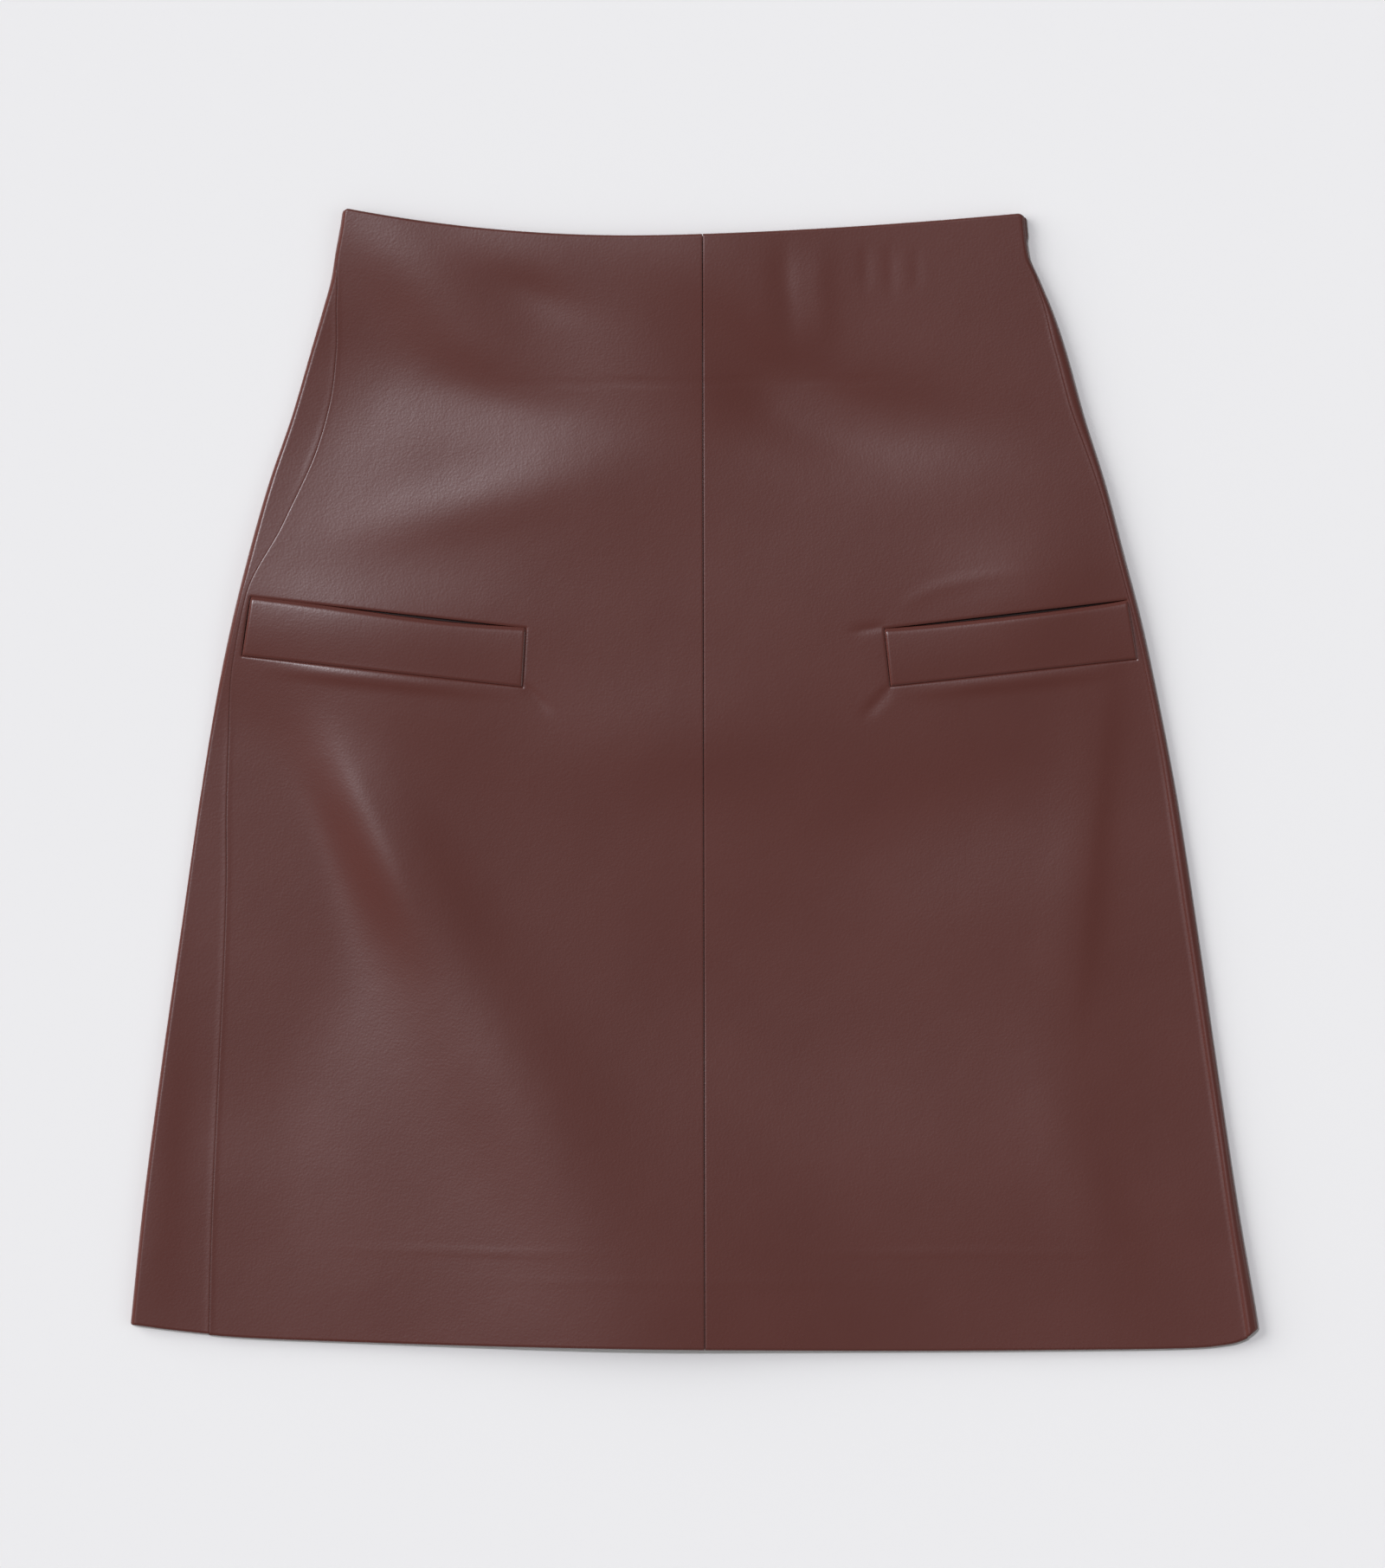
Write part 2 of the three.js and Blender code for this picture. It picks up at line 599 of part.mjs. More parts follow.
// A box between two corners.
function boxBetween(low, high) {
  const size = high.map((h, i) => h - low[i]);
  return new THREE.BoxGeometry(...size).translate(...high.map((h, i) => (h + low[i]) / 2));
}

// A round rod along the pull tab's axis.
function rodAcross(radius, length) {
  return new THREE.CylinderGeometry(radius, radius, length, ROD_SIDES)
    .rotateZ(Math.PI / 2)
    .translate(CENTRE_BACK_WAIST, zipY, ZIP.axisZ);
}

// The zip's slider: a body inside the skirt, a neck through the seam and a cross pin under it.
function sliderGeometry() {
  const floor = LIFT.height + WALL + SEAM_GAP;
  const x = CENTRE_BACK_WAIST;
  const body = boxBetween(
    [x - ZIP.bodyWidth / 2, zipY - ZIP.bodyLength / 2, floor],
    [x + ZIP.bodyWidth / 2, zipY + ZIP.bodyLength / 2, floor + ZIP.bodyHeight],
  );
  const neck = boxBetween(
    [x - ZIP.neckWidth / 2, zipY - ZIP.neckLength / 2, ZIP.axisZ],
    [x + ZIP.neckWidth / 2, zipY + ZIP.neckLength / 2, floor + ZIP.bodyHeight / 2],
  );
  const pin = rodAcross(ZIP.pinRadius, ZIP.pinLength);
  return geometryOf(solid(body).add(solid(neck)).add(solid(pin)));
}

// The pull tab: a tapered plate with two eyes on the slider's pin, lying along the seam towards the hem.
function tabGeometry() {
  const x = CENTRE_BACK_WAIST;
  const shape = new THREE.Shape();
  const half = TAB.width / 2;
  shape.moveTo(TAB.shoulder - half, 0);
  shape.lineTo(-half, half - TAB.length);
  shape.absarc(0, half - TAB.length, half, Math.PI, 2 * Math.PI, false);
  shape.lineTo(half - TAB.shoulder, 0);
  const extrusion = { depth: TAB.thick, bevelEnabled: false, steps: 1, curveSegments: ROD_SIDES / 2 };
  const plate = new THREE.ExtrudeGeometry(shape, extrusion);
  plate.translate(x, zipY, ZIP.axisZ - TAB.thick / 2);
  const eyes = rodAcross(TAB.eyeRadius, TAB.eyeLength);
  const bore = rodAcross(ZIP.pinRadius + TAB.play, ZIP.pinLength + 2 * TAB.play);
  const slot = boxBetween(
    [x - TAB.slotWidth / 2, zipY - TAB.slotLength, -CUT_THROUGH],
    [x + TAB.slotWidth / 2, zipY + TAB.slotLength, CUT_THROUGH],
  );
  return geometryOf(solid(plate).add(solid(eyes)).subtract(solid(bore)).subtract(solid(slot)));
}

const LEATHER = { color: 0x5c3c39, roughness: 0.42, metalness: 0 };
const ZIP_METAL = { color: 0x54423f, roughness: 0.35, metalness: 0.8 };

// A named piece with its own material.
function mesh(name, geometry, finish) {
  const made = new THREE.Mesh(geometry, new THREE.MeshStandardMaterial(finish));
  made.name = name;
  return made;
}

const skirt = new THREE.Group();
skirt.name = "leather_skirt";

const frontLeft = panel({
  columns: FRONT_COLUMNS,
  cut: FRONT_CUT,
  from: leftSeam,
  to: centreFront,
  folds: () => null,
});
const frontRight = panel({
  columns: FRONT_COLUMNS,
  cut: FRONT_CUT,
  from: centreFront,
  to: rightSeam,
  folds: () => null,
});
const zipSlot = solid(
  boxBetween(
    [CENTRE_BACK_WAIST - ZIP.slotWidth / 2, zipY - ZIP.slotLength / 2, -CUT_THROUGH],
    [CENTRE_BACK_WAIST + ZIP.slotWidth / 2, zipY + ZIP.slotLength / 2, CUT_THROUGH],
  ),
);
const backRight = panel({
  columns: BACK_COLUMNS,
  cut: BACK_CUT,
  from: rightSeam,
  to: centreBack,
  folds: (line) => line.lengths[line.frontEnd],
});
// The left back panel starts at the centre back seam and passes the end of the ring at the left fold.
const backLeft = panel({
  columns: BACK_COLUMNS,
  cut: BACK_CUT,
  from: (line, v) => centreBack(line, v) - wholeRing(line),
  to: leftSeam,
  folds: () => 0,
});

const cutOut = (geometry, block) => geometryOf(solid(geometry).subtract(block));
skirt.add(mesh("front_left", cutOut(frontLeft, windowSolid(WELTS.left)), LEATHER));
skirt.add(mesh("front_right", cutOut(frontRight, windowSolid(WELTS.right)), LEATHER));
skirt.add(mesh("back_right", cutOut(backRight, zipSlot), LEATHER));
skirt.add(mesh("back_left", cutOut(backLeft, zipSlot), LEATHER));
skirt.add(mesh("welt_left", weltGeometry(WELTS.left, false), LEATHER));
skirt.add(mesh("welt_right", weltGeometry(WELTS.right, true), LEATHER));
skirt.add(mesh("pocket_facing_left", facingGeometry(WELTS.left, false), LEATHER));
skirt.add(mesh("pocket_facing_right", facingGeometry(WELTS.right, true), LEATHER));
skirt.add(mesh("zip_slider", sliderGeometry(), ZIP_METAL));
skirt.add(mesh("zip_pull_tab", tabGeometry(), ZIP_METAL));

export default skirt;
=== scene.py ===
"""A short A-line leather skirt, laid flat on a pale table on its back with the front up.

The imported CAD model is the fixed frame. Each leather panel, welt and pocket facing is modelled again here
as a fine wall of cloth on its solid's form, with the creases, seams and turned edges of the real skirt.
Tables are in millimetres, +X to the right across the front, +Y up to the waist, +Z out of the table.
"""

import logging
import math
from collections.abc import Callable
from dataclasses import dataclass
from enum import Enum

import bmesh
import bpy
import numpy as np
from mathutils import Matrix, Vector


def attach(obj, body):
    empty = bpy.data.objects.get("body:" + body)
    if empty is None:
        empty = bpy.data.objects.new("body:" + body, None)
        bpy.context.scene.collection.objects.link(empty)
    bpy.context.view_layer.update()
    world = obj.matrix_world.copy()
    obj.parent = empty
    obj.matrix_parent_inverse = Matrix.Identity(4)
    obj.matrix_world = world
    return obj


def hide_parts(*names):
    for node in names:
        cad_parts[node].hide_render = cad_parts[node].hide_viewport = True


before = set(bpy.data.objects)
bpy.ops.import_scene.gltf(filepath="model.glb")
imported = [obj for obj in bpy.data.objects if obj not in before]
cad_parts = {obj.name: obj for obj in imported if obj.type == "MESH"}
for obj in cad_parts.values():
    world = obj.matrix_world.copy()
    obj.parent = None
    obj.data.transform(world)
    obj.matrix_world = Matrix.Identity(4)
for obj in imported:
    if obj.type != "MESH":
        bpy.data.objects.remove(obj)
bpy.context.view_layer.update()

MM = 0.001
log = logging.getLogger("skirt")


def smooth(t: np.ndarray) -> np.ndarray:
    """Eases a share between 0 and 1 in and out."""
    t = np.clip(t, 0.0, 1.0)
    return t * t * (3.0 - 2.0 * t)


def quarter_round(inside: np.ndarray, run: float) -> np.ndarray:
    """Height of a quarter circle at a distance inside its edge, from 0 on the edge to 1 past its run."""
    share = np.clip(1.0 - inside / run, 0.0, 1.0)
    return np.sqrt(1.0 - share * share)


class Curve:
    """A smooth curve through one column of a table, with no overshoot between its rows."""

    def __init__(self, rows: list[dict[str, float]], key: str, column: str) -> None:
        """Takes the table's rows.

        Args:
            rows: The table.
            key: The column that the curve is read by.
            column: The column that it gives.
        """
        ordered = sorted(rows, key=lambda row: row[key])
        self.at = np.array([row[key] for row in ordered])
        self.value = np.array([row[column] for row in ordered])
        slopes = np.diff(self.value) / np.diff(self.at)
        before = np.concatenate([slopes[:1], slopes])
        after = np.concatenate([slopes, slopes[-1:]])
        same = before * after > 0
        total = np.where(same, before + after, 1.0)
        self.slope = np.where(same, 2.0 * before * after / total, 0.0)

    def __call__(self, at: np.ndarray | float) -> np.ndarray:
        """Gives the curve's value.

        Args:
            at: Where it is read.

        Returns:
            The value there.
        """
        at = np.clip(at, self.at[0], self.at[-1])
        i = np.clip(np.searchsorted(self.at, at) - 1, 0, len(self.at) - 2)
        run = self.at[i + 1] - self.at[i]
        t = (at - self.at[i]) / run
        s = 1.0 - t
        ends = self.value[i] * s * s * (1 + 2 * t) + self.value[i + 1] * t * t * (3 - 2 * t)
        return ends + run * t * s * (self.slope[i] * s - self.slope[i + 1] * t)


def table(columns: str, *rows: tuple[float, ...]) -> list[dict[str, float]]:
    """Makes a table with named columns.

    Args:
        columns: The columns' names, with spaces between them.
        rows: One tuple for each row.

    Returns:
        A dictionary for each row.
    """
    names = columns.split()
    return [dict(zip(names, row, strict=True)) for row in rows]


@dataclass(frozen=True)
class Fold:
    """A soft ridge or trough of the laid front.

    x and y are its middle, long its half length, wide its half width, turn its direction in degrees from
    +X and height its height, below 0 for a trough.
    """

    name: str
    x: float
    y: float
    long: float
    wide: float
    turn: float
    height: float

    def lift(self, x: np.ndarray, y: np.ndarray) -> np.ndarray:
        """Gives how far the fold lifts the front at each place.

        Args:
            x: Places across the front.
            y: Their places up it.

        Returns:
            The lift at each place.
        """
        turn = math.radians(self.turn)
        along = ((x - self.x) * math.cos(turn) + (y - self.y) * math.sin(turn)) / self.long
        across = ((y - self.y) * math.cos(turn) - (x - self.x) * math.sin(turn)) / self.wide
        return self.height * np.exp(-along * along - across * across)


@dataclass(frozen=True)
class Crease:
    """A narrow crease along a bent line, fading out at both ends.

    start, bend and end are the line's points, wide its half width and height its height, below 0 for a
    trough. lean puts its steep side to the left of the line when above 0, or to the right when below.
    """

    name: str
    start: tuple[float, float]
    bend: tuple[float, float]
    end: tuple[float, float]
    wide: float
    height: float
    lean: float = 0.0

    STEPS = 18
    REACH = 3.5
    FADE = 2.4

    def lift(self, x: np.ndarray, y: np.ndarray) -> np.ndarray:
        """Gives how far the crease lifts the front at each place.

        Args:
            x: Places across the front.
            y: Their places up it.

        Returns:
            The lift at each place.
        """
        t = np.linspace(0.0, 1.0, self.STEPS + 1)[:, None]
        start, bend, end = (np.array(p) for p in (self.start, self.bend, self.end))
        line = (1 - t) ** 2 * start + 2 * t * (1 - t) * bend + t * t * end
        reach = self.REACH * self.wide * (1 + abs(self.lean))
        low, high = line.min(axis=0) - reach, line.max(axis=0) + reach
        near = (x > low[0]) & (x < high[0]) & (y > low[1]) & (y < high[1])
        out = np.zeros_like(x)
        if not near.any():
            return out
        place = np.stack([x[near], y[near]], axis=-1)[:, None, :]
        first, run = line[:-1], np.diff(line, axis=0)
        share = np.clip(((place - first) * run).sum(-1) / (run * run).sum(-1), 0.0, 1.0)
        away = place - (first + share[..., None] * run)
        gap = np.hypot(away[..., 0], away[..., 1])
        best = gap.argmin(axis=1)
        pick = np.arange(len(best))
        side = np.sign(run[best, 0] * away[pick, best, 1] - run[best, 1] * away[pick, best, 0])
        wide = self.wide * (1.0 - self.lean * side)
        along = (best + share[pick, best]) / self.STEPS
        fade = smooth(np.minimum(along, 1.0 - along) * self.FADE)
        out[near] = self.height * fade * np.exp(-((gap[pick, best] / wide) ** 2))
        return out


@dataclass(frozen=True)
class Sizes:
    """The sizes of the leather, its seams and its edges, in millimetres."""

    wall: float = 1.2
    seam_gap: float = 0.36
    seam_dip: float = 0.19
    seam_dip_width: float = 0.7
    side_gap: float = 0.05
    side_dip: float = 0.09
    turned_extra: float = 0.8
    hem_turn: float = 43.0
    waist_turn: float = 12.0
    turn_step: float = 1.5
    roll_low: float = 2.0
    roll_high: float = 1.4
    low_face: float = 3.3
    ease: float = 0.45
    back_waist_short: float = 0.8
    back_hem_short: float = 0.5
    centre_front_waist: float = 4.1
    centre_front_hem: float = 5.2
    centre_back_waist: float = -4.6
    centre_back_drift: float = -12.0
    rib_width: float = 1.7
    rib_out: float = 1.3

    @property
    def half(self) -> float:
        """Half of a single wall."""
        return self.wall / 2


@dataclass(frozen=True)
class Zip:
    """The concealed zip's slider and pull tab, and how far the cloth rides up over them."""

    down: float = 18.0
    tucked: float = 13.6
    neck_room: float = 0.5
    neck_long: float = 3.4
    neck_ease: float = 5.0
    axis_z: float = 1.15
    lift: float = 2.4
    level_x: float = 5.0
    level_y: float = 14.0
    fade: float = 20.0
    back: float = 9.0
    swell: float = 2.2
    swell_reach: float = 62.0
    length: float = 220.0

    def tape_top(self, form: "LaidForm") -> float:
        """Gives the height at which the tapes come out of the turned waist edge."""
        return form.zip_y + self.down - self.tucked


OUTLINE = table(
    "y left right",
    (290.0, -173.6, 163.2),
    (280.0, -174.6, 163.6),
    (261.0, -177.9, 165.7),
    (250.0, -179.6, 170.3),
    (233.0, -184.2, 177.4),
    (215.9, -189.2, 183.2),
    (181.5, -199.2, 192.8),
    (147.1, -211.0, 203.6),
    (112.7, -220.8, 212.6),
    (78.3, -229.3, 221.6),
    (43.9, -236.3, 229.0),
    (-7.7, -244.9, 238.9),
    (-76.5, -254.8, 249.6),
    (-145.3, -264.7, 259.5),
    (-214.1, -273.7, 269.8),
    (-272.2, -279.7, 279.7),
    (-290.0, -281.4, 282.2),
)

PUFF = table(
    "y crest level left right",
    (290, 5.3, 0.2, 5.1, 4.8),
    (250, 5.4, 0.25, 5.1, 4.8),
    (180, 5.5, 0.3, 5.1, 4.8),
    (80, 5.6, 0.4, 5.1, 4.8),
    (20, 5.6, 0.35, 5.0, 4.8),
    (-110, 5.6, 0.2, 5.0, 4.8),
    (-220, 5.3, 0.1, 5.0, 4.8),
    (-290, 5.1, 0.1, 4.9, 4.8),
)

SIDE_SEAMS = table(
    "y left right left_rib right_rib",
    (290, 0, 0, 0.0, 0.0),
    (262, 0.4, 0, 0.0, 0.0),
    (240, 4.5, 2.0, 0.06, 0.15),
    (215, 11.5, 4.4, 0.06, 0.3),
    (190, 15.5, 4.6, 0.03, 0.3),
    (165, 16.5, 3.5, 0.05, 0.2),
    (130, 12.0, 2.5, 0.0, 0.1),
    (92, 3.2, 2.5, 0.0, 0.1),
    (60, 4.0, 2.5, 0.0, 0.1),
    (20, 9.0, 2.8, 0.05, 0.25),
    (-15, 13.5, 3.6, 0.07, 0.5),
    (-50, 18.5, 3.9, 0.08, 0.6),
    (-160, 29.5, 3.6, 0.09, 0.65),
    (-290, 40.0, 5.2, 0.09, 0.65),
)

HEM_EDGE = table(
    "x y",
    (-300, -269.0),
    (-279.0, -270.8),
    (-258.9, -273.4),
    (-224.5, -276.6),
    (-172.9, -278.7),
    (-86.9, -281.2),
    (4.3, -282.7),
    (106.6, -283.2),
    (214.1, -282.5),
    (248.5, -281.8),
    (265.7, -280.0),
    (273.0, -277.8),
    (279.7, -273.0),
    (284.0, -268.4),
)

DRAPE = (
    Fold("hip_belt", -40, 80, 240, 60, 0, 1.7),
    Fold("belly_rise", -56, 148, 64, 40, -10, 1.7),
    Fold("left_pocket_rise", -150, 46, 62, 34, -40, 1.5),
    Fold("centre_rise", -8, 22, 62, 30, 0, 1.0),
    Fold("right_pocket_rise", 166, 94, 36, 26, 0, 1.2),
    Fold("right_low", 62, -110, 104, 66, -14, -2.4),
    Fold("right_pit", 130, -20, 66, 34, 14, -1.3),
    Fold("right_side_fall", 240, -80, 130, 42, 98, -2.4),
    Fold("left_hem_rise", -30, -290, 126, 84, 104, 5.0),
    Fold("left_flare_top", -148, -36, 60, 24, -62, 2.6),
    Fold("over_left_pocket", -150, 82, 62, 18, -6, 0.7),
    Fold("left_flare_crest", -92, -146, 96, 34, -61, 2.5),
    Fold("left_valley", -220, -34, 96, 46, -64, -4.2),
    Fold("left_valley_foot", -230, -160, 88, 44, -84, -2.2),
    Fold("hip_hollow", -182, 192, 60, 38, 52, -1.6),
    Fold("hip_valley", -100, 190, 58, 17, -16, -1.0),
    Fold("hip_ridge", -112, 136, 58, 15, 14, 0.6),
    Fold("waist_dimple", -84, 243, 26, 10, -20, -0.5),
    Fold("waist_valley", 28, 208, 66, 22, -36, -1.8),
    Fold("waist_valley_tail", 90, 178, 62, 22, -8, -1.7),
    Fold("belly_right_hollow", 42, 194, 36, 20, 40, -0.6),
    Fold("corner_ridge", -130, 244, 62, 24, -46, 1.9),
    Fold("waist_left_rise", -90, 264, 56, 26, -6, 1.3),
    Crease("left_flare_streak", (-192, 42), (-158, -24), (-128, -104), 12.0, 0.7, 0.2),
    Crease("left_side_roll", (-258, -90), (-264, -180), (-276, -300), 14.0, 0.6),
    Crease("right_flare_crest", (204, 84), (200, -30), (182, -150), 14.0, 0.65, 0.35),
    Crease("right_hem_ridge", (160, -110), (190, -190), (226, -290), 18.0, 0.5),
    Crease("right_edge_trough", (230, 20), (250, -130), (272, -310), 12.0, -0.5),
    Crease("ripple_dark", (45, 276), (43, 246), (52, 206), 6.5, -0.3, 0.2),
    Crease("ripple_light", (62, 276), (60, 244), (66, 204), 7.0, 0.2),
    Crease("gather_one", (84, 270), (86, 256), (85, 238), 3.2, -0.1),
    Crease("gather_two", (97, 270), (98, 254), (98, 236), 3.2, -0.1),
    Crease("gather_three", (110, 269), (111, 254), (110, 240), 3.0, -0.08),
    Crease("over_right_pocket_bow", (98, 80), (112, 104), (186, 104), 3.2, 0.12, 0.2),
    Crease("left_foot_shoulder", (-226, 58), (-155, 50.5), (-82, 42.5), 3.4, 0.5),
    Crease("right_foot_shoulder", (94, 42.5), (158, 50), (223, 57), 3.4, 0.45),
    Crease("left_inner_pinch", (-88, 52), (-80, 43), (-68, 32), 2.6, -0.25, 0.3),
    Crease("right_inner_pinch", (100, 51), (92, 40), (80, 29), 2.6, -0.25, -0.3),
    Crease("right_mouth_pinch", (98, 78), (88, 75), (74, 74), 2.2, -0.2),
    Crease("facing_line", (-124, 197), (10, 198), (140, 200), 1.0, -0.11),
    Crease("hem_line_left", (-210, -231), (-110, -235), (-20, -234), 1.2, 0.08),
    Crease("hem_line_right", (34, -234), (130, -235), (232, -234), 1.2, 0.08),
    Crease("hem_line_low", (-150, -248), (0, -250), (150, -248), 1.6, 0.04),
)


class Side(Enum):
    """The two sides of the front, as they are seen."""

    LEFT = "left"
    RIGHT = "right"

    @property
    def sign(self) -> int:
        """The side's direction along X."""
        return -1 if self is Side.LEFT else 1


@dataclass(frozen=True)
class WeltPlan:
    """The four corners of a welt on the front, and the mouth left open above it."""

    side: Side
    outer_top: tuple[float, float]
    inner_top: tuple[float, float]
    outer_low: tuple[float, float]
    inner_low: tuple[float, float]
    mouth_middle: float
    mouth_power: float
    mouth_skew: float
    mouth_end: float = 0.5

    def top(self, x: np.ndarray) -> np.ndarray:
        """Gives the line through both top corners."""
        return self._line(self.outer_top, self.inner_top, x)

    def low(self, x: np.ndarray) -> np.ndarray:
        """Gives the line through both lower corners."""
        return self._line(self.outer_low, self.inner_low, x)

    def outer(self, y: float) -> float:
        """Gives the outer end of the window at a height."""
        return float(self._line(self.outer_low[::-1], self.outer_top[::-1], y))

    def inner(self, y: float) -> float:
        """Gives the inner end of the window at a height."""
        return float(self._line(self.inner_low[::-1], self.inner_top[::-1], y))

    def place(self, across: np.ndarray, down: np.ndarray) -> tuple[np.ndarray, np.ndarray]:
        """Gives a point of the window: across from its outer to its inner end, down from top to foot.

        Args:
            across: Shares from the outer end to the inner end.
            down: Shares from the top to the foot.

        Returns:
            The points' x and y.
        """
        corners = [np.array(c) for c in (self.outer_top, self.inner_top, self.outer_low, self.inner_low)]
        across, down = np.asarray(across)[..., None], np.asarray(down)[..., None]
        top = corners[0] + (corners[1] - corners[0]) * across
        low = corners[2] + (corners[3] - corners[2]) * across
        point = top + (low - top) * down
        return point[..., 0], point[..., 1]

    def mouth(self, across: np.ndarray) -> np.ndarray:
        """Gives the width of the mouth along the welt."""
        rise = np.sin(np.pi * np.clip(across, 0.0, 1.0) ** self.mouth_skew) ** self.mouth_power
        return self.mouth_end + (self.mouth_middle - self.mouth_end) * rise

    @staticmethod
    def _line(a: tuple[float, ...], b: tuple[float, ...], at: np.ndarray) -> np.ndarray:
        """Gives the straight line through two points."""
        return a[1] + (b[1] - a[1]) * (at - a[0]) / (b[0] - a[0])


WELTS = {
    Side.LEFT: WeltPlan(
        side=Side.LEFT,
        outer_top=(-220.4, 91.4),
        inner_top=(-83.6, 75.9),
        outer_low=(-224.7, 62.2),
        inner_low=(-85.3, 46.6),
        mouth_middle=2.3,
        mouth_power=1.1,
        mouth_skew=1.7,
    ),
    Side.RIGHT: WeltPlan(
        side=Side.RIGHT,
        outer_top=(215.6, 90.0),
        inner_top=(94.4, 75.6),
        outer_low=(220.4, 60.6),
        inner_low=(97.4, 47.0),
        mouth_middle=2.4,
        mouth_power=0.5,
        mouth_skew=0.8,
    ),
}


class Relief:
    """The folds and creases of the front, worked out once on a fine grid and read smoothly between."""

    STEP = 1.0
    LOW = (-300.0, -304.0)
    SIZE = (601, 609)

    def __init__(self, parts: tuple[Fold | Crease, ...]) -> None:
        """Adds up the parts over the whole front.

        Args:
            parts: The folds and creases.
        """
        across = self.LOW[0] + self.STEP * np.arange(self.SIZE[0])
        up = self.LOW[1] + self.STEP * np.arange(self.SIZE[1])
        x, y = np.meshgrid(across, up)
        self.height = sum(part.lift(x, y) for part in parts)

    def __call__(self, x: np.ndarray, y: np.ndarray) -> np.ndarray:
        """Gives the height of the relief.

        Args:
            x: Places across the front.
            y: Their places up it.

        Returns:
            The height at each place.
        """
        i, weights_x = self._taps((x - self.LOW[0]) / self.STEP, self.SIZE[0])
        j, weights_y = self._taps((y - self.LOW[1]) / self.STEP, self.SIZE[1])
        total = np.zeros(np.broadcast(x, y).shape)
        for row, weight_y in enumerate(weights_y):
            for column, weight_x in enumerate(weights_x):
                total += weight_y * weight_x * self.height[j + row - 1, i + column - 1]
        return total

    @staticmethod
    def _taps(place: np.ndarray, size: int) -> tuple[np.ndarray, list[np.ndarray]]:
        """Gives the grid place before a point and the weights of the four round it.

        Args:
            place: Places on the grid, in its steps.
            size: The number of grid lines.

        Returns:
            The grid line before each place, and the four weights.
        """
        place = np.clip(place, 1.0, size - 3.0)
        i = np.floor(place).astype(int)
        t = place - i
        weights = [
            0.5 * (-t + 2 * t**2 - t**3),
            0.5 * (2 - 5 * t**2 + 3 * t**3),
            0.5 * (t + 4 * t**2 - 3 * t**3),
            0.5 * (t**3 - t**2),
        ]
        return i, weights


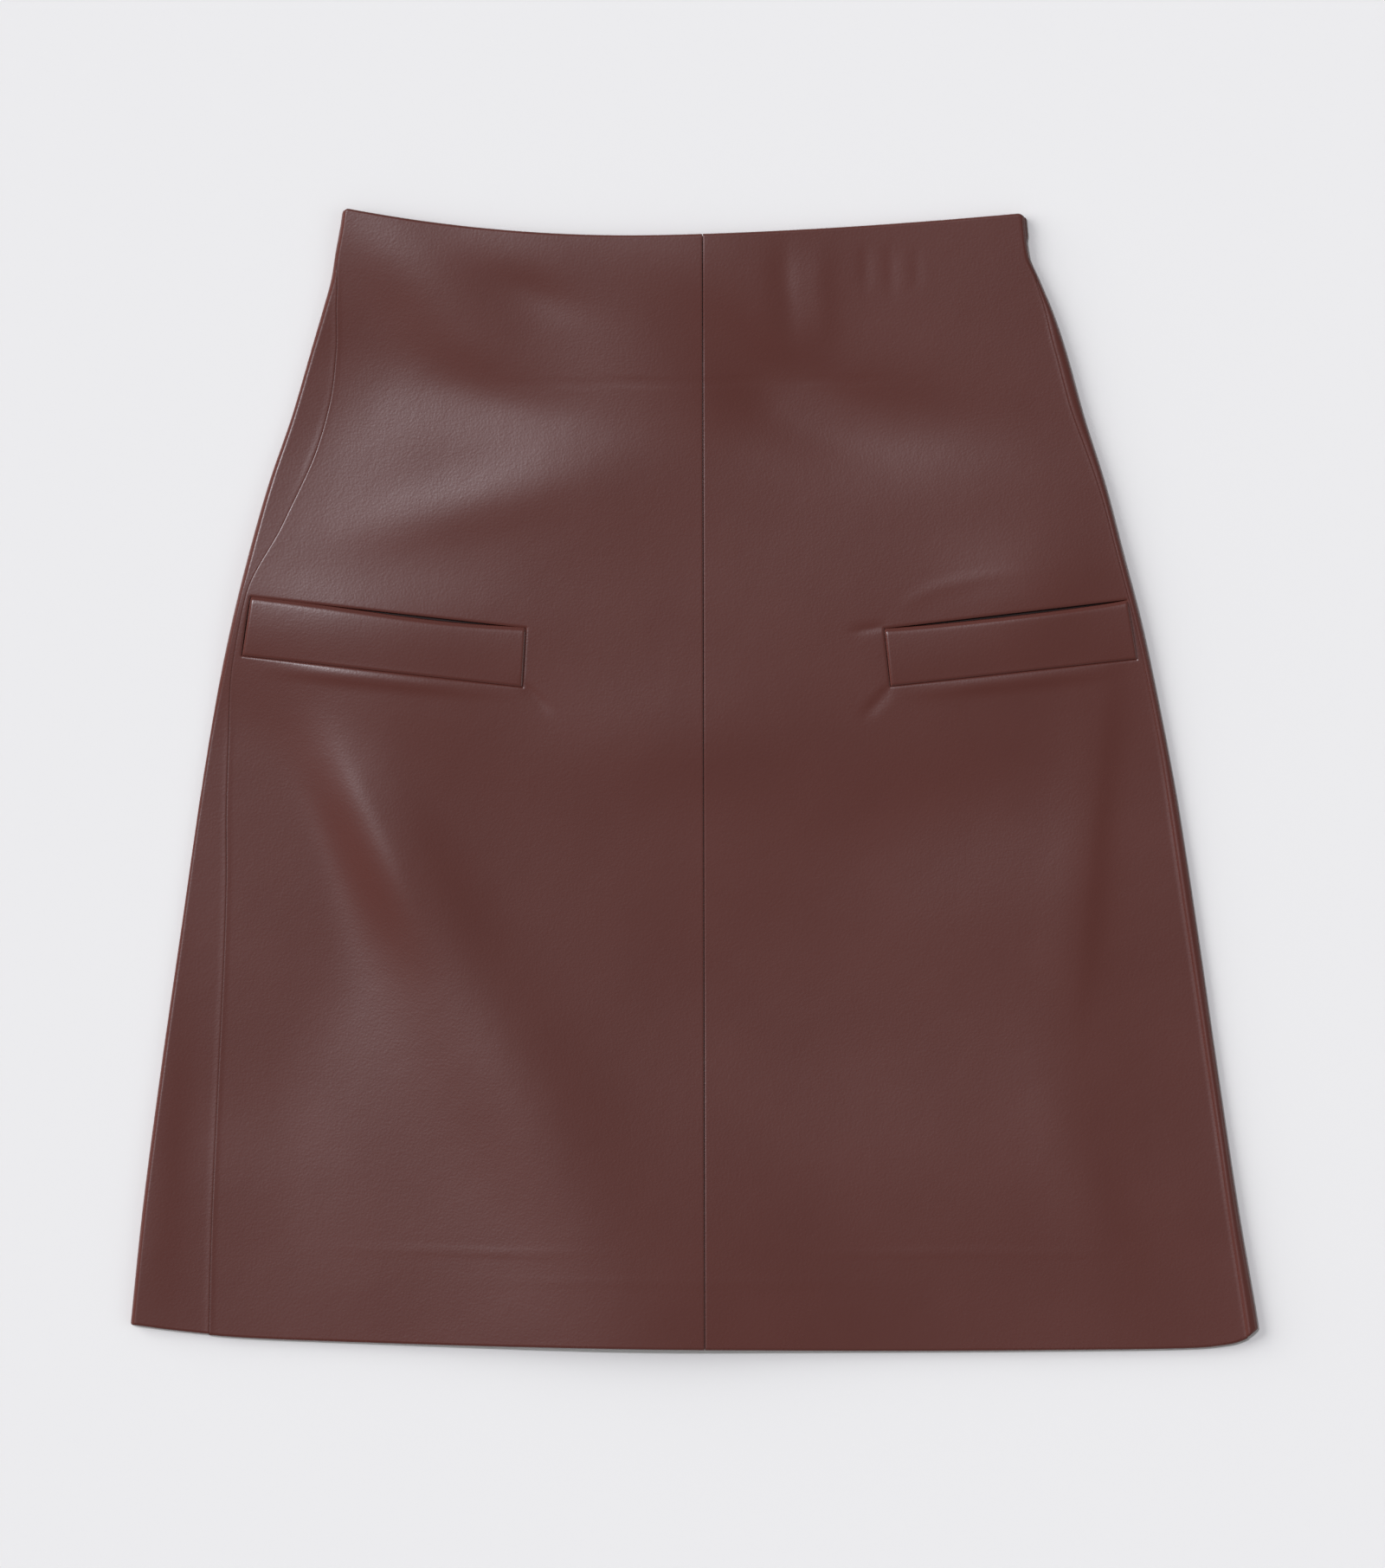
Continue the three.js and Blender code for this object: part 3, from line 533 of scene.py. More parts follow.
class LaidForm:
    """The form of the laid skirt: its outline, its edges and how high each layer lies."""

    def __init__(self, sizes: Sizes, zip_plan: Zip) -> None:
        """Reads the tables.

        Args:
            sizes: The sizes of the leather and its seams.
            zip_plan: The sizes of the zip.
        """
        self.sizes = sizes
        self.zip = zip_plan
        self.left = Curve(OUTLINE, "y", "left")
        self.right = Curve(OUTLINE, "y", "right")
        self.crest = Curve(PUFF, "y", "crest")
        self.level = Curve(PUFF, "y", "level")
        self.side_left = Curve(PUFF, "y", "left")
        self.side_right = Curve(PUFF, "y", "right")
        self.seam_left = Curve(SIDE_SEAMS, "y", "left")
        self.seam_right = Curve(SIDE_SEAMS, "y", "right")
        self.rib_left = Curve(SIDE_SEAMS, "y", "left_rib")
        self.rib_right = Curve(SIDE_SEAMS, "y", "right_rib")
        self.hem = Curve(HEM_EDGE, "x", "y")
        self.drape = Relief(DRAPE)
        self.zip_y = float(self.waist(np.array([sizes.centre_back_waist]))[0])
        self.zip_y -= sizes.back_waist_short + zip_plan.down

    WAIST_LOW = (-31.0, 271.0)
    WAIST_LEFT = (141.0, 13.3, 2.0)
    WAIST_RIGHT = (191.0, 10.8, 1.6)
    WAIST_CORNER = (2.6, 1.3)
    TURN_FADE_TOP = (205.0, 45.0)
    TURN_FADE_FOOT = (-150.0, 70.0)

    def waist(self, x: np.ndarray) -> np.ndarray:
        """Gives the waist edge of the front.

        Args:
            x: Places across the front.

        Returns:
            The y of the edge at each place.
        """
        low_x, low_y = self.WAIST_LOW
        across = np.asarray(x, dtype=float) - low_x
        run, rise, power = (
            np.where(across < 0, a, b) for a, b in zip(self.WAIST_LEFT, self.WAIST_RIGHT, strict=True)
        )
        y = low_y + rise * (np.abs(across) / run) ** power
        inside = np.minimum(x - self.left(y), self.right(y) - x)
        run, drop = self.WAIST_CORNER
        return y - drop * np.clip(1.0 - inside / run, 0.0, 1.0) ** 2

    def lift(self, x: np.ndarray, y: np.ndarray) -> np.ndarray:
        """Gives how far the back rides up over the zip's slider and pull tab.

        Args:
            x: Places across the back.
            y: Their places up it.

        Returns:
            The lift at each place.
        """
        z = self.zip
        away_x = np.maximum(np.abs(x - self.sizes.centre_back_waist) - z.level_x, 0) / z.fade
        away_y = np.maximum(np.abs(y - (self.zip_y - z.back)) - z.level_y, 0) / z.fade
        return z.lift * (1.0 - smooth(np.hypot(away_x, away_y)))

    def neck_gap(self, y: float) -> float:
        """Gives how far each back's edge moves aside for the neck of the zip's slider."""
        z = self.zip
        return z.neck_room * (1.0 - float(smooth((abs(y - self.zip_y) - z.neck_long / 2) / z.neck_ease)))

    def back_seam(self, y: np.ndarray) -> np.ndarray:
        """Gives the centre back seam's x at each height.

        Args:
            y: Heights along the seam.

        Returns:
            The x of the seam at each height.
        """
        s = self.sizes
        top = self.waist(np.full(1, s.centre_back_waist))[0]
        foot = self.hem(np.full(1, s.centre_back_waist))[0]
        share = np.clip((top - y) / (top - foot), 0.0, 1.0)
        return s.centre_back_waist + s.centre_back_drift * share * share

    def swell(self, x: np.ndarray, y: np.ndarray) -> np.ndarray:
        """Gives the wide, soft rise of the front over the zip's slider and pull tab.

        Args:
            x: Places across the front.
            y: Their places up it.

        Returns:
            The rise at each place.
        """
        z = self.zip
        away = np.hypot(x - self.sizes.centre_back_waist, y - (self.zip_y - z.back))
        return z.swell * np.exp(-((away / z.swell_reach) ** 2))

    def relief(self, x: np.ndarray, y: np.ndarray) -> np.ndarray:
        """Gives the height of the front's outer face, before it turns down into the side folds.

        Args:
            x: Places across the front.
            y: Their places up it.

        Returns:
            The height at each place.
        """
        s = self.sizes
        left, right = self.left(y), self.right(y)
        middle = (s.centre_front_waist + s.centre_front_hem) / 2
        out = np.where(x < middle, (middle - x) / (middle - left), (x - middle) / (right - middle))
        level = self.level(y)
        fall = (1 + np.cos(np.pi * np.clip((out - level) / (1 - level), 0, 1))) / 2
        folds = self.drape(x, y)
        side = np.where(x < middle, self.side_left(y), self.side_right(y))
        from_left = (x - left - self.seam_left(y)) / s.rib_width
        from_right = (right - self.seam_right(y) + s.rib_out - x) / s.rib_width
        ribs = self.rib_left(y) * np.exp(-(from_left**2)) + self.rib_right(y) * np.exp(-(from_right**2))
        height = side + (self.crest(y) - side) * fall + folds + self.swell(x, y)
        top_y, top_run = self.TURN_FADE_TOP
        foot_y, foot_run = self.TURN_FADE_FOOT
        turned = smooth((y - top_y) / top_run) + smooth((foot_y - y) / foot_run)
        floor = s.low_face + s.turned_extra * turned
        return floor + s.ease * np.logaddexp(0.0, (height - floor) / s.ease) + ribs

    def front_mid(self, x: np.ndarray, y: np.ndarray) -> np.ndarray:
        """Gives the height of the middle of the front's wall.

        Args:
            x: Places across the front.
            y: Their places up it.

        Returns:
            The height at each place.
        """
        s = self.sizes
        inside = np.minimum(x - self.left(y), self.right(y) - x)
        edge = s.half + s.roll_low
        return edge + (self.relief(x, y) - s.half - edge) * quarter_round(inside, s.roll_high)

    def inside(self, x: np.ndarray, y: np.ndarray) -> np.ndarray:
        """Gives the height of the back's inner face."""
        return self.sizes.wall + self.lift(x, y)

    def back_mid(self, x: np.ndarray, y: np.ndarray) -> np.ndarray:
        """Gives the height of the middle of the back's wall.

        Args:
            x: Places across the back.
            y: Their places up it.

        Returns:
            The height at each place.
        """
        s = self.sizes
        inside = np.minimum(x - self.left(y), self.right(y) - x)
        return s.half + s.roll_low * (1.0 - quarter_round(inside, s.roll_low)) + self.lift(x, y)

    def turned(self, from_waist: np.ndarray, from_hem: np.ndarray) -> np.ndarray:
        """Gives the extra thickness inside the wall where its edge is turned in.

        Args:
            from_waist: Distances from the waist edge.
            from_hem: Distances from the hem.

        Returns:
            The extra thickness at each place.
        """
        s = self.sizes
        waist = 1 - np.clip((from_waist - s.waist_turn) / s.turn_step, 0, 1)
        hem = 1 - np.clip((from_hem - s.hem_turn) / s.turn_step, 0, 1)
        return s.turned_extra * np.maximum(waist, hem)


RowLine = Callable[[np.ndarray], np.ndarray]


class Ring:
    """One row of the skirt: the middle of its wall, over the front from the left fold and back under it."""

    LEVEL_STEP = 0.7
    ROLL_STEPS = 14
    PASSES = 14

    def __init__(self, form: LaidForm, row: RowLine) -> None:
        """Follows a row of the laid form.

        Args:
            form: The laid form.
            row: Gives the row's y at an x.
        """
        left = np.array([float(form.left(0.0))])
        right = np.array([float(form.right(0.0))])
        for _ in range(self.PASSES):
            left = form.left(row(left))
            right = form.right(row(right))
        self.left, self.right = float(left[0]), float(right[0])
        front_x = self._stations(form.sizes.roll_high)
        back_x = self._stations(form.sizes.roll_low)[::-1]
        front_y, back_y = row(front_x), row(back_x)
        front = np.stack([front_x, front_y, form.front_mid(front_x, front_y)], axis=1)
        back = np.stack([back_x, back_y, form.back_mid(back_x, back_y)], axis=1)
        self.points = np.concatenate([front, back[1:]])
        steps = np.linalg.norm(np.diff(self.points, axis=0), axis=1)
        self.lengths = np.concatenate([[0.0], np.cumsum(steps)])
        self.front_end = len(front) - 1

    def _stations(self, run: float) -> np.ndarray:
        """Gives x along the row, close together where the wall turns into a fold.

        Args:
            run: How far in from the edge the wall turns.

        Returns:
            The x of each station, from left to right.
        """
        turn = np.arange(self.ROLL_STEPS) * (math.pi / 2 / self.ROLL_STEPS)
        quarter = run * (1 - np.cos(turn))
        count = round((self.right - self.left) / self.LEVEL_STEP)
        level = np.linspace(self.left + run, self.right - run, count)
        return np.concatenate([self.left + quarter, level, self.right - quarter[::-1]])

    @property
    def whole(self) -> float:
        """The length once round."""
        return float(self.lengths[-1])

    def at(self, lengths: np.ndarray) -> np.ndarray:
        """Gives the points at distances along the row, which may run past either end of it."""
        wrapped = np.mod(lengths, self.whole)
        return np.stack([np.interp(wrapped, self.lengths, self.points[:, k]) for k in range(3)], axis=1)

    def front_length(self, x: float) -> float:
        """Gives the distance along the row at which its front crosses x."""
        n = self.front_end + 1
        return float(np.interp(x, self.points[:n, 0], self.lengths[:n]))

    def back_length(self, x: float) -> float:
        """Gives the distance along the row at which its back crosses x."""
        n = self.front_end
        return float(np.interp(x, self.points[n:, 0][::-1], self.lengths[n:][::-1]))


def eased_steps(length: float, step: float, start: tuple[float, ...], end: tuple[float, ...]) -> np.ndarray:
    """Gives shares of a length with named fine steps at its ends and even ones between.

    Args:
        length: The length that the steps divide.
        step: The even step.
        start: Distances of the fine places from the start.
        end: Distances of the fine places from the end.

    Returns:
        The shares, from 0 to 1.
    """
    first = start[-1] if start else 0.0
    last = length - (end[-1] if end else 0.0)
    count = max(2, round((last - first) / step))
    middle = np.linspace(first, last, count + 1)
    places = [0.0, *start[:-1], *middle, *[length - e for e in end[:-1][::-1]], length]
    return np.unique(np.round(np.array(places) / length, 7))


FINE = (0.18, 0.4, 0.7, 1.1, 1.7, 2.6)


class Wall:
    """A wall of cloth on a grid of points, with rounded edges and, if asked, a window in it."""

    RIM_STEPS = 4

    def __init__(self, mid: np.ndarray, out: np.ndarray, into: np.ndarray) -> None:
        """Keeps the grid.

        Args:
            mid: The middle of the wall, rows by columns by 3.
            out: How far the outer face lies out from it.
            into: How far the inner face lies in from it.
        """
        self.mid = mid
        self.out = out
        self.into = into
        across = np.gradient(mid, axis=1)
        down = np.gradient(mid, axis=0)
        normal = np.cross(down, across)
        self.normal = normal / np.linalg.norm(normal, axis=2, keepdims=True)
        self.points: list[np.ndarray] = []
        self.faces: list[np.ndarray] = []
        self.count = 0

    def _add(self, points: np.ndarray) -> np.ndarray:
        """Adds points and gives their numbers in the same layout.

        Args:
            points: Points in any layout, by 3.

        Returns:
            Their numbers.
        """
        flat = points.reshape(-1, 3)
        numbers = np.arange(self.count, self.count + len(flat)).reshape(points.shape[:-1])
        self.points.append(flat)
        self.count += len(flat)
        return numbers

    def _strip(self, a: np.ndarray, b: np.ndarray) -> None:
        """Adds the faces between two lines of points."""
        self.faces.append(np.stack([a[:-1], b[:-1], b[1:], a[1:]], axis=1))

    def build(self, window: tuple[slice, slice] | None = None) -> tuple[np.ndarray, np.ndarray]:
        """Makes the wall.

        Args:
            window: Rows and columns of the grid's faces that are left out.

        Returns:
            The points, and the faces as four point numbers each.
        """
        outer = self._add(self.mid + self.normal * self.out[..., None])
        inner = self._add(self.mid - self.normal * self.into[..., None])
        keep = np.ones((outer.shape[0] - 1, outer.shape[1] - 1), dtype=bool)
        if window:
            keep[window] = False
        for numbers, ahead in ((outer, True), (inner, False)):
            a, b = numbers[:-1, :-1], numbers[1:, :-1]
            c, d = numbers[1:, 1:], numbers[:-1, 1:]
            corners = (a, b, c, d) if ahead else (a, d, c, b)
            self.faces.append(np.stack([k[keep] for k in corners], axis=1))
        self._rim(outer[0], inner[0], 0, 1, False)
        self._rim(outer[-1], inner[-1], -1, -2, True)
        self._strip(outer[:, 0][::-1], inner[:, 0][::-1])
        self._strip(outer[:, -1], inner[:, -1])
        if window:
            self._window_sides(outer, inner, window)
        return np.concatenate(self.points), np.concatenate(self.faces)

    def _rim(self, outer: np.ndarray, inner: np.ndarray, edge: int, beside: int, ahead: bool) -> None:
        """Rounds the wall's edge along a row.

        Args:
            outer: The numbers of the outer face's points on the row.
            inner: Those of the inner face's.
            edge: The row.
            beside: The row next to it.
            ahead: Whether the faces run from the outer face to the inner one.
        """
        along = self.mid[edge] - self.mid[beside]
        along /= np.linalg.norm(along, axis=1, keepdims=True)
        out, into = self.out[edge][:, None], self.into[edge][:, None]
        reach = (out + into) / 2
        centre = self.mid[edge] + self.normal[edge] * (out - reach)
        lines = [outer]
        for turn in np.linspace(0, math.pi, self.RIM_STEPS + 1)[1:-1]:
            ring = centre + self.normal[edge] * reach * math.cos(turn) + along * reach * math.sin(turn)
            lines.append(self._add(ring))
        lines.append(inner)
        for a, b in zip(lines[:-1], lines[1:], strict=True):
            if ahead:
                self._strip(a, b)
            else:
                self._strip(b, a)

    def _window_sides(self, outer: np.ndarray, inner: np.ndarray, window: tuple[slice, slice]) -> None:
        """Closes the wall round its window.

        Args:
            outer: The numbers of the outer face's points.
            inner: Those of the inner face's.
            window: Rows and columns of the grid's faces that are left out.
        """
        rows, columns = window
        top, foot, left, right = rows.start, rows.stop, columns.start, columns.stop
        self._strip(outer[top, left : right + 1], inner[top, left : right + 1])
        self._strip(inner[foot, left : right + 1], outer[foot, left : right + 1])
        self._strip(inner[top : foot + 1, left], outer[top : foot + 1, left])
        self._strip(outer[top : foot + 1, right], inner[top : foot + 1, right])


def add_object(name: str, data: bpy.types.ID) -> bpy.types.Object:
    """Adds an object with a mesh, a camera or a light to the scene, at the origin.

    Args:
        name: The object's name.
        data: Its mesh, camera or light.

    Returns:
        The object.
    """
    obj = bpy.data.objects.new(name, data)
    bpy.context.scene.collection.objects.link(obj)
    return obj


def mesh_object(
    name: str, points: np.ndarray, faces: np.ndarray, cut: np.ndarray | None = None
) -> bpy.types.Object:
    """Makes a smooth mesh object from points in millimetres.

    Args:
        name: The piece's name.
        points: Its points.
        faces: Its faces, as four point numbers each.
        cut: Where each point lay on the flat leather, for the UV map, in millimetres.

    Returns:
        The object, at the origin.
    """
    mesh = bpy.data.meshes.new(name)
    mesh.from_pydata((points * MM).tolist(), [], faces.tolist())
    mesh.shade_smooth()
    if cut is not None:
        layer = mesh.uv_layers.new(name="cut")
        corners = np.empty(len(mesh.loops), dtype=np.int32)
        mesh.loops.foreach_get("vertex_index", corners)
        layer.data.foreach_set("uv", (cut[corners] * MM).astype(np.float32).ravel())
    mesh.validate()
    return add_object(name, mesh)


@dataclass(frozen=True)
class Cut:
    """The flat cut of a piece of cloth: its largest width and length and its area, in metres."""

    width: float
    length: float
    area: float

    @classmethod
    def of(cls, mid: np.ndarray, window: tuple[slice, slice] | None = None) -> "Cut":
        """Measures a cut along the grid of its wall.

        Args:
            mid: The middle of the wall, rows by columns by 3, in millimetres.
            window: Rows and columns of the grid's faces that are left out.

        Returns:
            The cut.
        """
        across = np.linalg.norm(np.diff(mid, axis=1), axis=2).sum(axis=1).max()
        down = np.linalg.norm(np.diff(mid, axis=0), axis=2).sum(axis=0).max()
        one = np.cross(mid[1:, 1:] - mid[:-1, :-1], mid[1:, :-1] - mid[:-1, 1:])
        areas = np.linalg.norm(one, axis=2) / 2
        if window:
            areas[window] = 0.0
        return cls(float(across) * MM, float(down) * MM, float(areas.sum()) * MM * MM)


def edge_dip(distance: np.ndarray, width: float, depth: float) -> np.ndarray:
    """Gives how far a rounded edge lies below its face at a distance from the edge."""
    return depth * (1.0 - quarter_round(np.maximum(distance, 0.0), width))


class Sheet:
    """A piece of cloth, which keeps the cut of what it shows."""

    cut: Cut

    def _make(
        self,
        name: str,
        mid: np.ndarray,
        out: np.ndarray,
        into: np.ndarray,
        window: tuple[slice, slice] | None = None,
    ) -> bpy.types.Object:
        """Makes the mesh of the cloth's wall, and measures its cut.

        Args:
            name: The piece's name.
            mid: The middle of the wall, rows by columns by 3.
            out: How far the outer face lies out from it.
            into: How far the inner face lies in from it.
            window: Rows and columns of the grid's faces that are left out.

        Returns:
            The piece's object.
        """
        points, faces = Wall(mid, out, into).build(window)
        self.cut = Cut.of(mid, window)
        return mesh_object(name, points, faces, points[:, :2])


@dataclass
class Panel(Sheet):
    """What a front and a back panel share: both run from a side seam to a seam in the middle."""

    side: Side
    form: LaidForm

    KIND = "panel"
    SIDE_SEAM_FIRST = Side.LEFT

    @property
    def node(self) -> str:
        """The panel's CAD node."""
        return f"{self.KIND}_{self.side.value}"

    def _outer(self, places: np.ndarray) -> np.ndarray:
        """Gives the outer half of the wall, rounded off at the seams at both ends of each row.

        Args:
            places: The distance along each row of each of its columns.

        Returns:
            How far the outer face lies out from the middle.
        """
        sizes = self.form.sizes
        dips = (sizes.side_dip, sizes.seam_dip)
        first, last = dips if self.side is self.SIDE_SEAM_FIRST else dips[::-1]
        out = np.full(places.shape, sizes.half)
        out -= edge_dip(places - places[:, :1], sizes.seam_dip_width, first)
        out -= edge_dip(places[:, -1:] - places, sizes.seam_dip_width, last)
        return out

    def _inner(self, mid: np.ndarray) -> np.ndarray:
        """Gives the inner half of the wall, thicker where its edges are turned in.

        Args:
            mid: The middle of the wall.

        Returns:
            How far the inner face lies in from it.
        """
        form = self.form
        from_waist = form.waist(mid[..., 0]) - mid[..., 1]
        from_hem = mid[..., 1] - form.hem(mid[..., 0])
        return form.sizes.half + form.turned(from_waist, from_hem)

    @staticmethod
    def _follow(rings: list[Ring], places: np.ndarray) -> np.ndarray:
        """Gives the middle of the wall from the distances along its rows."""
        return np.stack([ring.at(row) for ring, row in zip(rings, places, strict=True)])


@dataclass
class FrontPanel(Panel):
    """One front panel, from its side seam to the centre front, with a window for its welt."""

    welt: WeltPlan
    column_step: float = 2.1
    row_step: float = 2.2
    lip_width: float = 1.3
    lip_depth: float = 0.46
    wide_block: float = 12.0

    KIND = "front"
    NARROW = (0.0, 0.06, 0.14, 0.26, 0.42, 0.6, 0.76, 0.88, 1.0)

    def build(self) -> bpy.types.Object:
        """Builds the panel.

        Returns:
            The panel's object.
        """
        shares, marks = self._rows()
        rings = [Ring(self.form, self._row_line(block, share)) for block, share in shares]
        guides = np.array([self._guides(ring) for ring in rings])
        columns, column_marks = self._columns(guides)
        places = self._spread(guides, columns)
        mid = self._follow(rings, places)
        over_top = mid[..., 1] - self.welt.top(mid[..., 0])
        under_foot = self.welt.low(mid[..., 0]) - mid[..., 1]
        past_ends = np.maximum(guides[:, 1:2] - places, places - guides[:, 2:3])
        away = np.hypot(np.maximum(np.maximum(over_top, under_foot), 0), np.maximum(past_ends, 0))
        out = self._outer(places) - edge_dip(away, self.lip_width, self.lip_depth)
        window = (slice(*marks), slice(*column_marks))
        return self._make(self.node + "_leather", mid, out, self._inner(mid), window)

    def _rows(self) -> tuple[list[tuple[int, float]], tuple[int, int]]:
        """Gives each row's block and share of it, and the rows at the window's top and foot.

        Returns:
            A block and a share for each row, and the rows where the window starts and ends.
        """
        x = np.array([float(self.welt.place(0.5, 0.0)[0])])
        heights = [float(self.form.waist(x)[0]), float(self.welt.top(x)[0]), float(self.welt.low(x)[0])]
        heights.append(float(self.form.hem(x)[0]))
        rows: list[tuple[int, float]] = []
        marks = []
        for block in range(3):
            length = heights[block] - heights[block + 1]
            start = FINE[1:] if block == 0 else FINE
            end = FINE[1:] if block == 2 else FINE
            share = eased_steps(length, self.row_step, start, end)
            rows += [(block, float(s)) for s in (share if block == 2 else share[:-1])]
            marks.append(len(rows))
        return rows, (marks[0], marks[1])

    def _row_line(self, block: int, share: float) -> RowLine:
        """Gives the line of a row.

        Args:
            block: The block above, beside or below the window.
            share: The share of the way down it.

        Returns:
            The line: y at an x.
        """
        rim = self.form.sizes.wall / 2 + self.form.sizes.turned_extra / 2
        lines = [
            lambda x: self.form.waist(x) - rim,
            self.welt.top,
            self.welt.low,
            lambda x: self.form.hem(x) + rim,
        ]
        return lambda x: lines[block](x) * (1 - share) + lines[block + 1](x) * share

    def _guides(self, ring: Ring) -> list[float]:
        """Gives the distances along a row of the panel's edges and the window's ends.

        Args:
            ring: The row.

        Returns:
            The four distances, in rising order.
        """
        form, sizes, welt = self.form, self.form.sizes, self.welt
        gap = sizes.seam_gap / 2
        top = form.waist(0.0)
        share = float(np.clip((top - self._row_y(ring, 0.0)) / (top - form.hem(0.0)), 0, 1))
        centre = sizes.centre_front_waist + (sizes.centre_front_hem - sizes.centre_front_waist) * share
        middle = ring.front_length(centre)
        inner = ring.front_length(welt.inner(self._row_y(ring, welt.inner(welt.inner_top[1]))))
        if self.side is Side.LEFT:
            edge_y = float(ring.points[0, 1])
            seam = ring.front_length(ring.left + float(form.seam_left(edge_y))) + sizes.side_gap / 2
            return [seam, seam + self._strip_width(edge_y), inner, middle - gap]
        edge_y = float(ring.points[ring.front_end, 1])
        seam = ring.front_length(ring.right - float(form.seam_right(edge_y))) - sizes.side_gap / 2
        return [middle + gap, inner, seam - self._strip_width(edge_y), seam]

    def _row_y(self, ring: Ring, x: float) -> float:
        """Gives the y of a row's front at an x."""
        n = ring.front_end + 1
        return float(np.interp(x, ring.points[:n, 0], ring.points[:n, 1]))

    def _strip_width(self, y: float) -> float:
        """Gives the width of the strip between the side seam and the window's outer end.

        Args:
            y: The height at which the row meets the side fold.

        Returns:
            The width.
        """
        form, welt = self.form, self.welt
        widths = []
        for corner in (welt.outer_top, welt.outer_low):
            if self.side is Side.LEFT:
                seam = float(form.left(corner[1])) + float(form.seam_left(corner[1]))
                widths.append(corner[0] - seam)
            else:
                seam = float(form.right(corner[1])) - float(form.seam_right(corner[1]))
                widths.append(seam - corner[0] + form.sizes.roll_high * 0.5)
        share = float(np.clip((welt.outer_top[1] - y) / (welt.outer_top[1] - welt.outer_low[1]), 0, 1))
        return widths[0] + (widths[1] - widths[0]) * share

    def _columns(self, guides: np.ndarray) -> tuple[list[np.ndarray], tuple[int, int]]:
        """Gives the shares of the columns in each block, and the columns at the window's ends.

        Args:
            guides: The distances along each row of the edges and the window's ends.

        Returns:
            The shares, and the columns where the window starts and ends.
        """
        longest = np.diff(guides, axis=1).max(axis=0)
        shares = [
            eased_steps(float(width), self.column_step, FINE, FINE)
            if width > self.wide_block
            else np.array(self.NARROW)
            for width in longest
        ]
        first = len(shares[0]) - 1
        return shares, (first, first + len(shares[1]) - 1)

    def _spread(self, guides: np.ndarray, columns: list[np.ndarray]) -> np.ndarray:
        """Gives the distance along each row of each of its columns.

        Args:
            guides: The distances along each row of the edges and the window's ends.
            columns: The shares of the columns in each block.

        Returns:
            The distances, rows by columns.
        """
        parts = []
        for block, share in enumerate(columns):
            low, high = guides[:, block : block + 1], guides[:, block + 1 : block + 2]
            part = low + (high - low) * share[None, :]
            parts.append(part if block == 2 else part[:, :-1])
        return np.concatenate(parts, axis=1)


@dataclass
class BackPanel(Panel):
    """One back panel, from the centre back under the skirt and up round the side fold to the side seam."""

    flat_step: float = 4.2
    row_step: float = 3.0
    shown_step: float = 1.6
    fold_step: float = 0.55
    fold_reach: float = 7.0

    KIND = "back"
    SIDE_SEAM_FIRST = Side.RIGHT

    def build(self) -> bpy.types.Object:
        """Builds the panel.

        Returns:
            The panel's object.
        """
        form = self.form
        shares = eased_steps(float(form.waist(0.0) - form.hem(0.0)), self.row_step, FINE[1:], FINE[1:])
        rings = [Ring(form, self._row_line(float(share))) for share in shares]
        guides = np.array([self._guides(ring, float(v)) for ring, v in zip(rings, shares, strict=True)])
        places = self._spread(guides)
        mid = self._follow(rings, places)
        return self._make(self.node + "_leather", mid, self._outer(places), self._inner(mid))

    def _row_line(self, share: float) -> RowLine:
        """Gives the line of a row.

        Args:
            share: The share of the way down the panel.

        Returns:
            The line: y at an x.
        """
        form, sizes = self.form, self.form.sizes
        rim = sizes.wall / 2 + sizes.turned_extra / 2
        top, foot = sizes.back_waist_short + rim, sizes.back_hem_short + rim
        return lambda x: (form.waist(x) - top) * (1 - share) + (form.hem(x) + foot) * share

    def _guides(self, ring: Ring, share: float) -> list[float]:
        """Gives the distances along a row of the panel's edges and its fold.

        Args:
            ring: The row.
            share: Its share of the way down the panel.

        Returns:
            The three distances, in rising order.
        """
        sizes, gap = self.form.sizes, self.form.sizes.seam_gap / 2
        centre = ring.back_length(sizes.centre_back_waist + sizes.centre_back_drift * share * share)
        gap += self.form.neck_gap(float(ring.at(np.array([centre]))[0, 1]))
        if self.side is Side.LEFT:
            seam = ring.front_length(ring.left + float(self.form.seam_left(ring.points[0, 1])))
            return [centre - ring.whole + gap, 0.0, seam - sizes.side_gap / 2]
        seam_x = ring.right - float(self.form.seam_right(ring.points[ring.front_end, 1]))
        seam = ring.front_length(seam_x) + sizes.side_gap / 2
        return [seam, float(ring.lengths[ring.front_end]), centre - gap]

    def _spread(self, guides: np.ndarray) -> np.ndarray:
        """Gives the distance along each row of each of its columns.

        Args:
            guides: The distances along each row of the edges and the fold.

        Returns:
            The distances, rows by columns.
        """
        low, fold, high = guides[:, :1], guides[:, 1:2], guides[:, 2:]
        before = np.minimum(self.fold_reach, (fold - low) * 0.5)
        after = np.minimum(self.fold_reach, (high - fold) * 0.5)
        round_share = np.linspace(0, 1, round(2 * self.fold_reach / self.fold_step))
        steps = (self.flat_step, self.shown_step)
        if self.side is Side.RIGHT:
            steps = steps[::-1]
        longest = [float((fold - before - low).max()), float((high - fold - after).max())]
        first = eased_steps(longest[0], steps[0], FINE, ())[:-1]
        last = eased_steps(longest[1], steps[1], (), FINE)[1:]
        parts = [
            low + (fold - before - low) * first,
            fold - before + (before + after) * round_share,
            fold + after + (high - fold - after) * last,
        ]
        return np.concatenate(parts, axis=1)


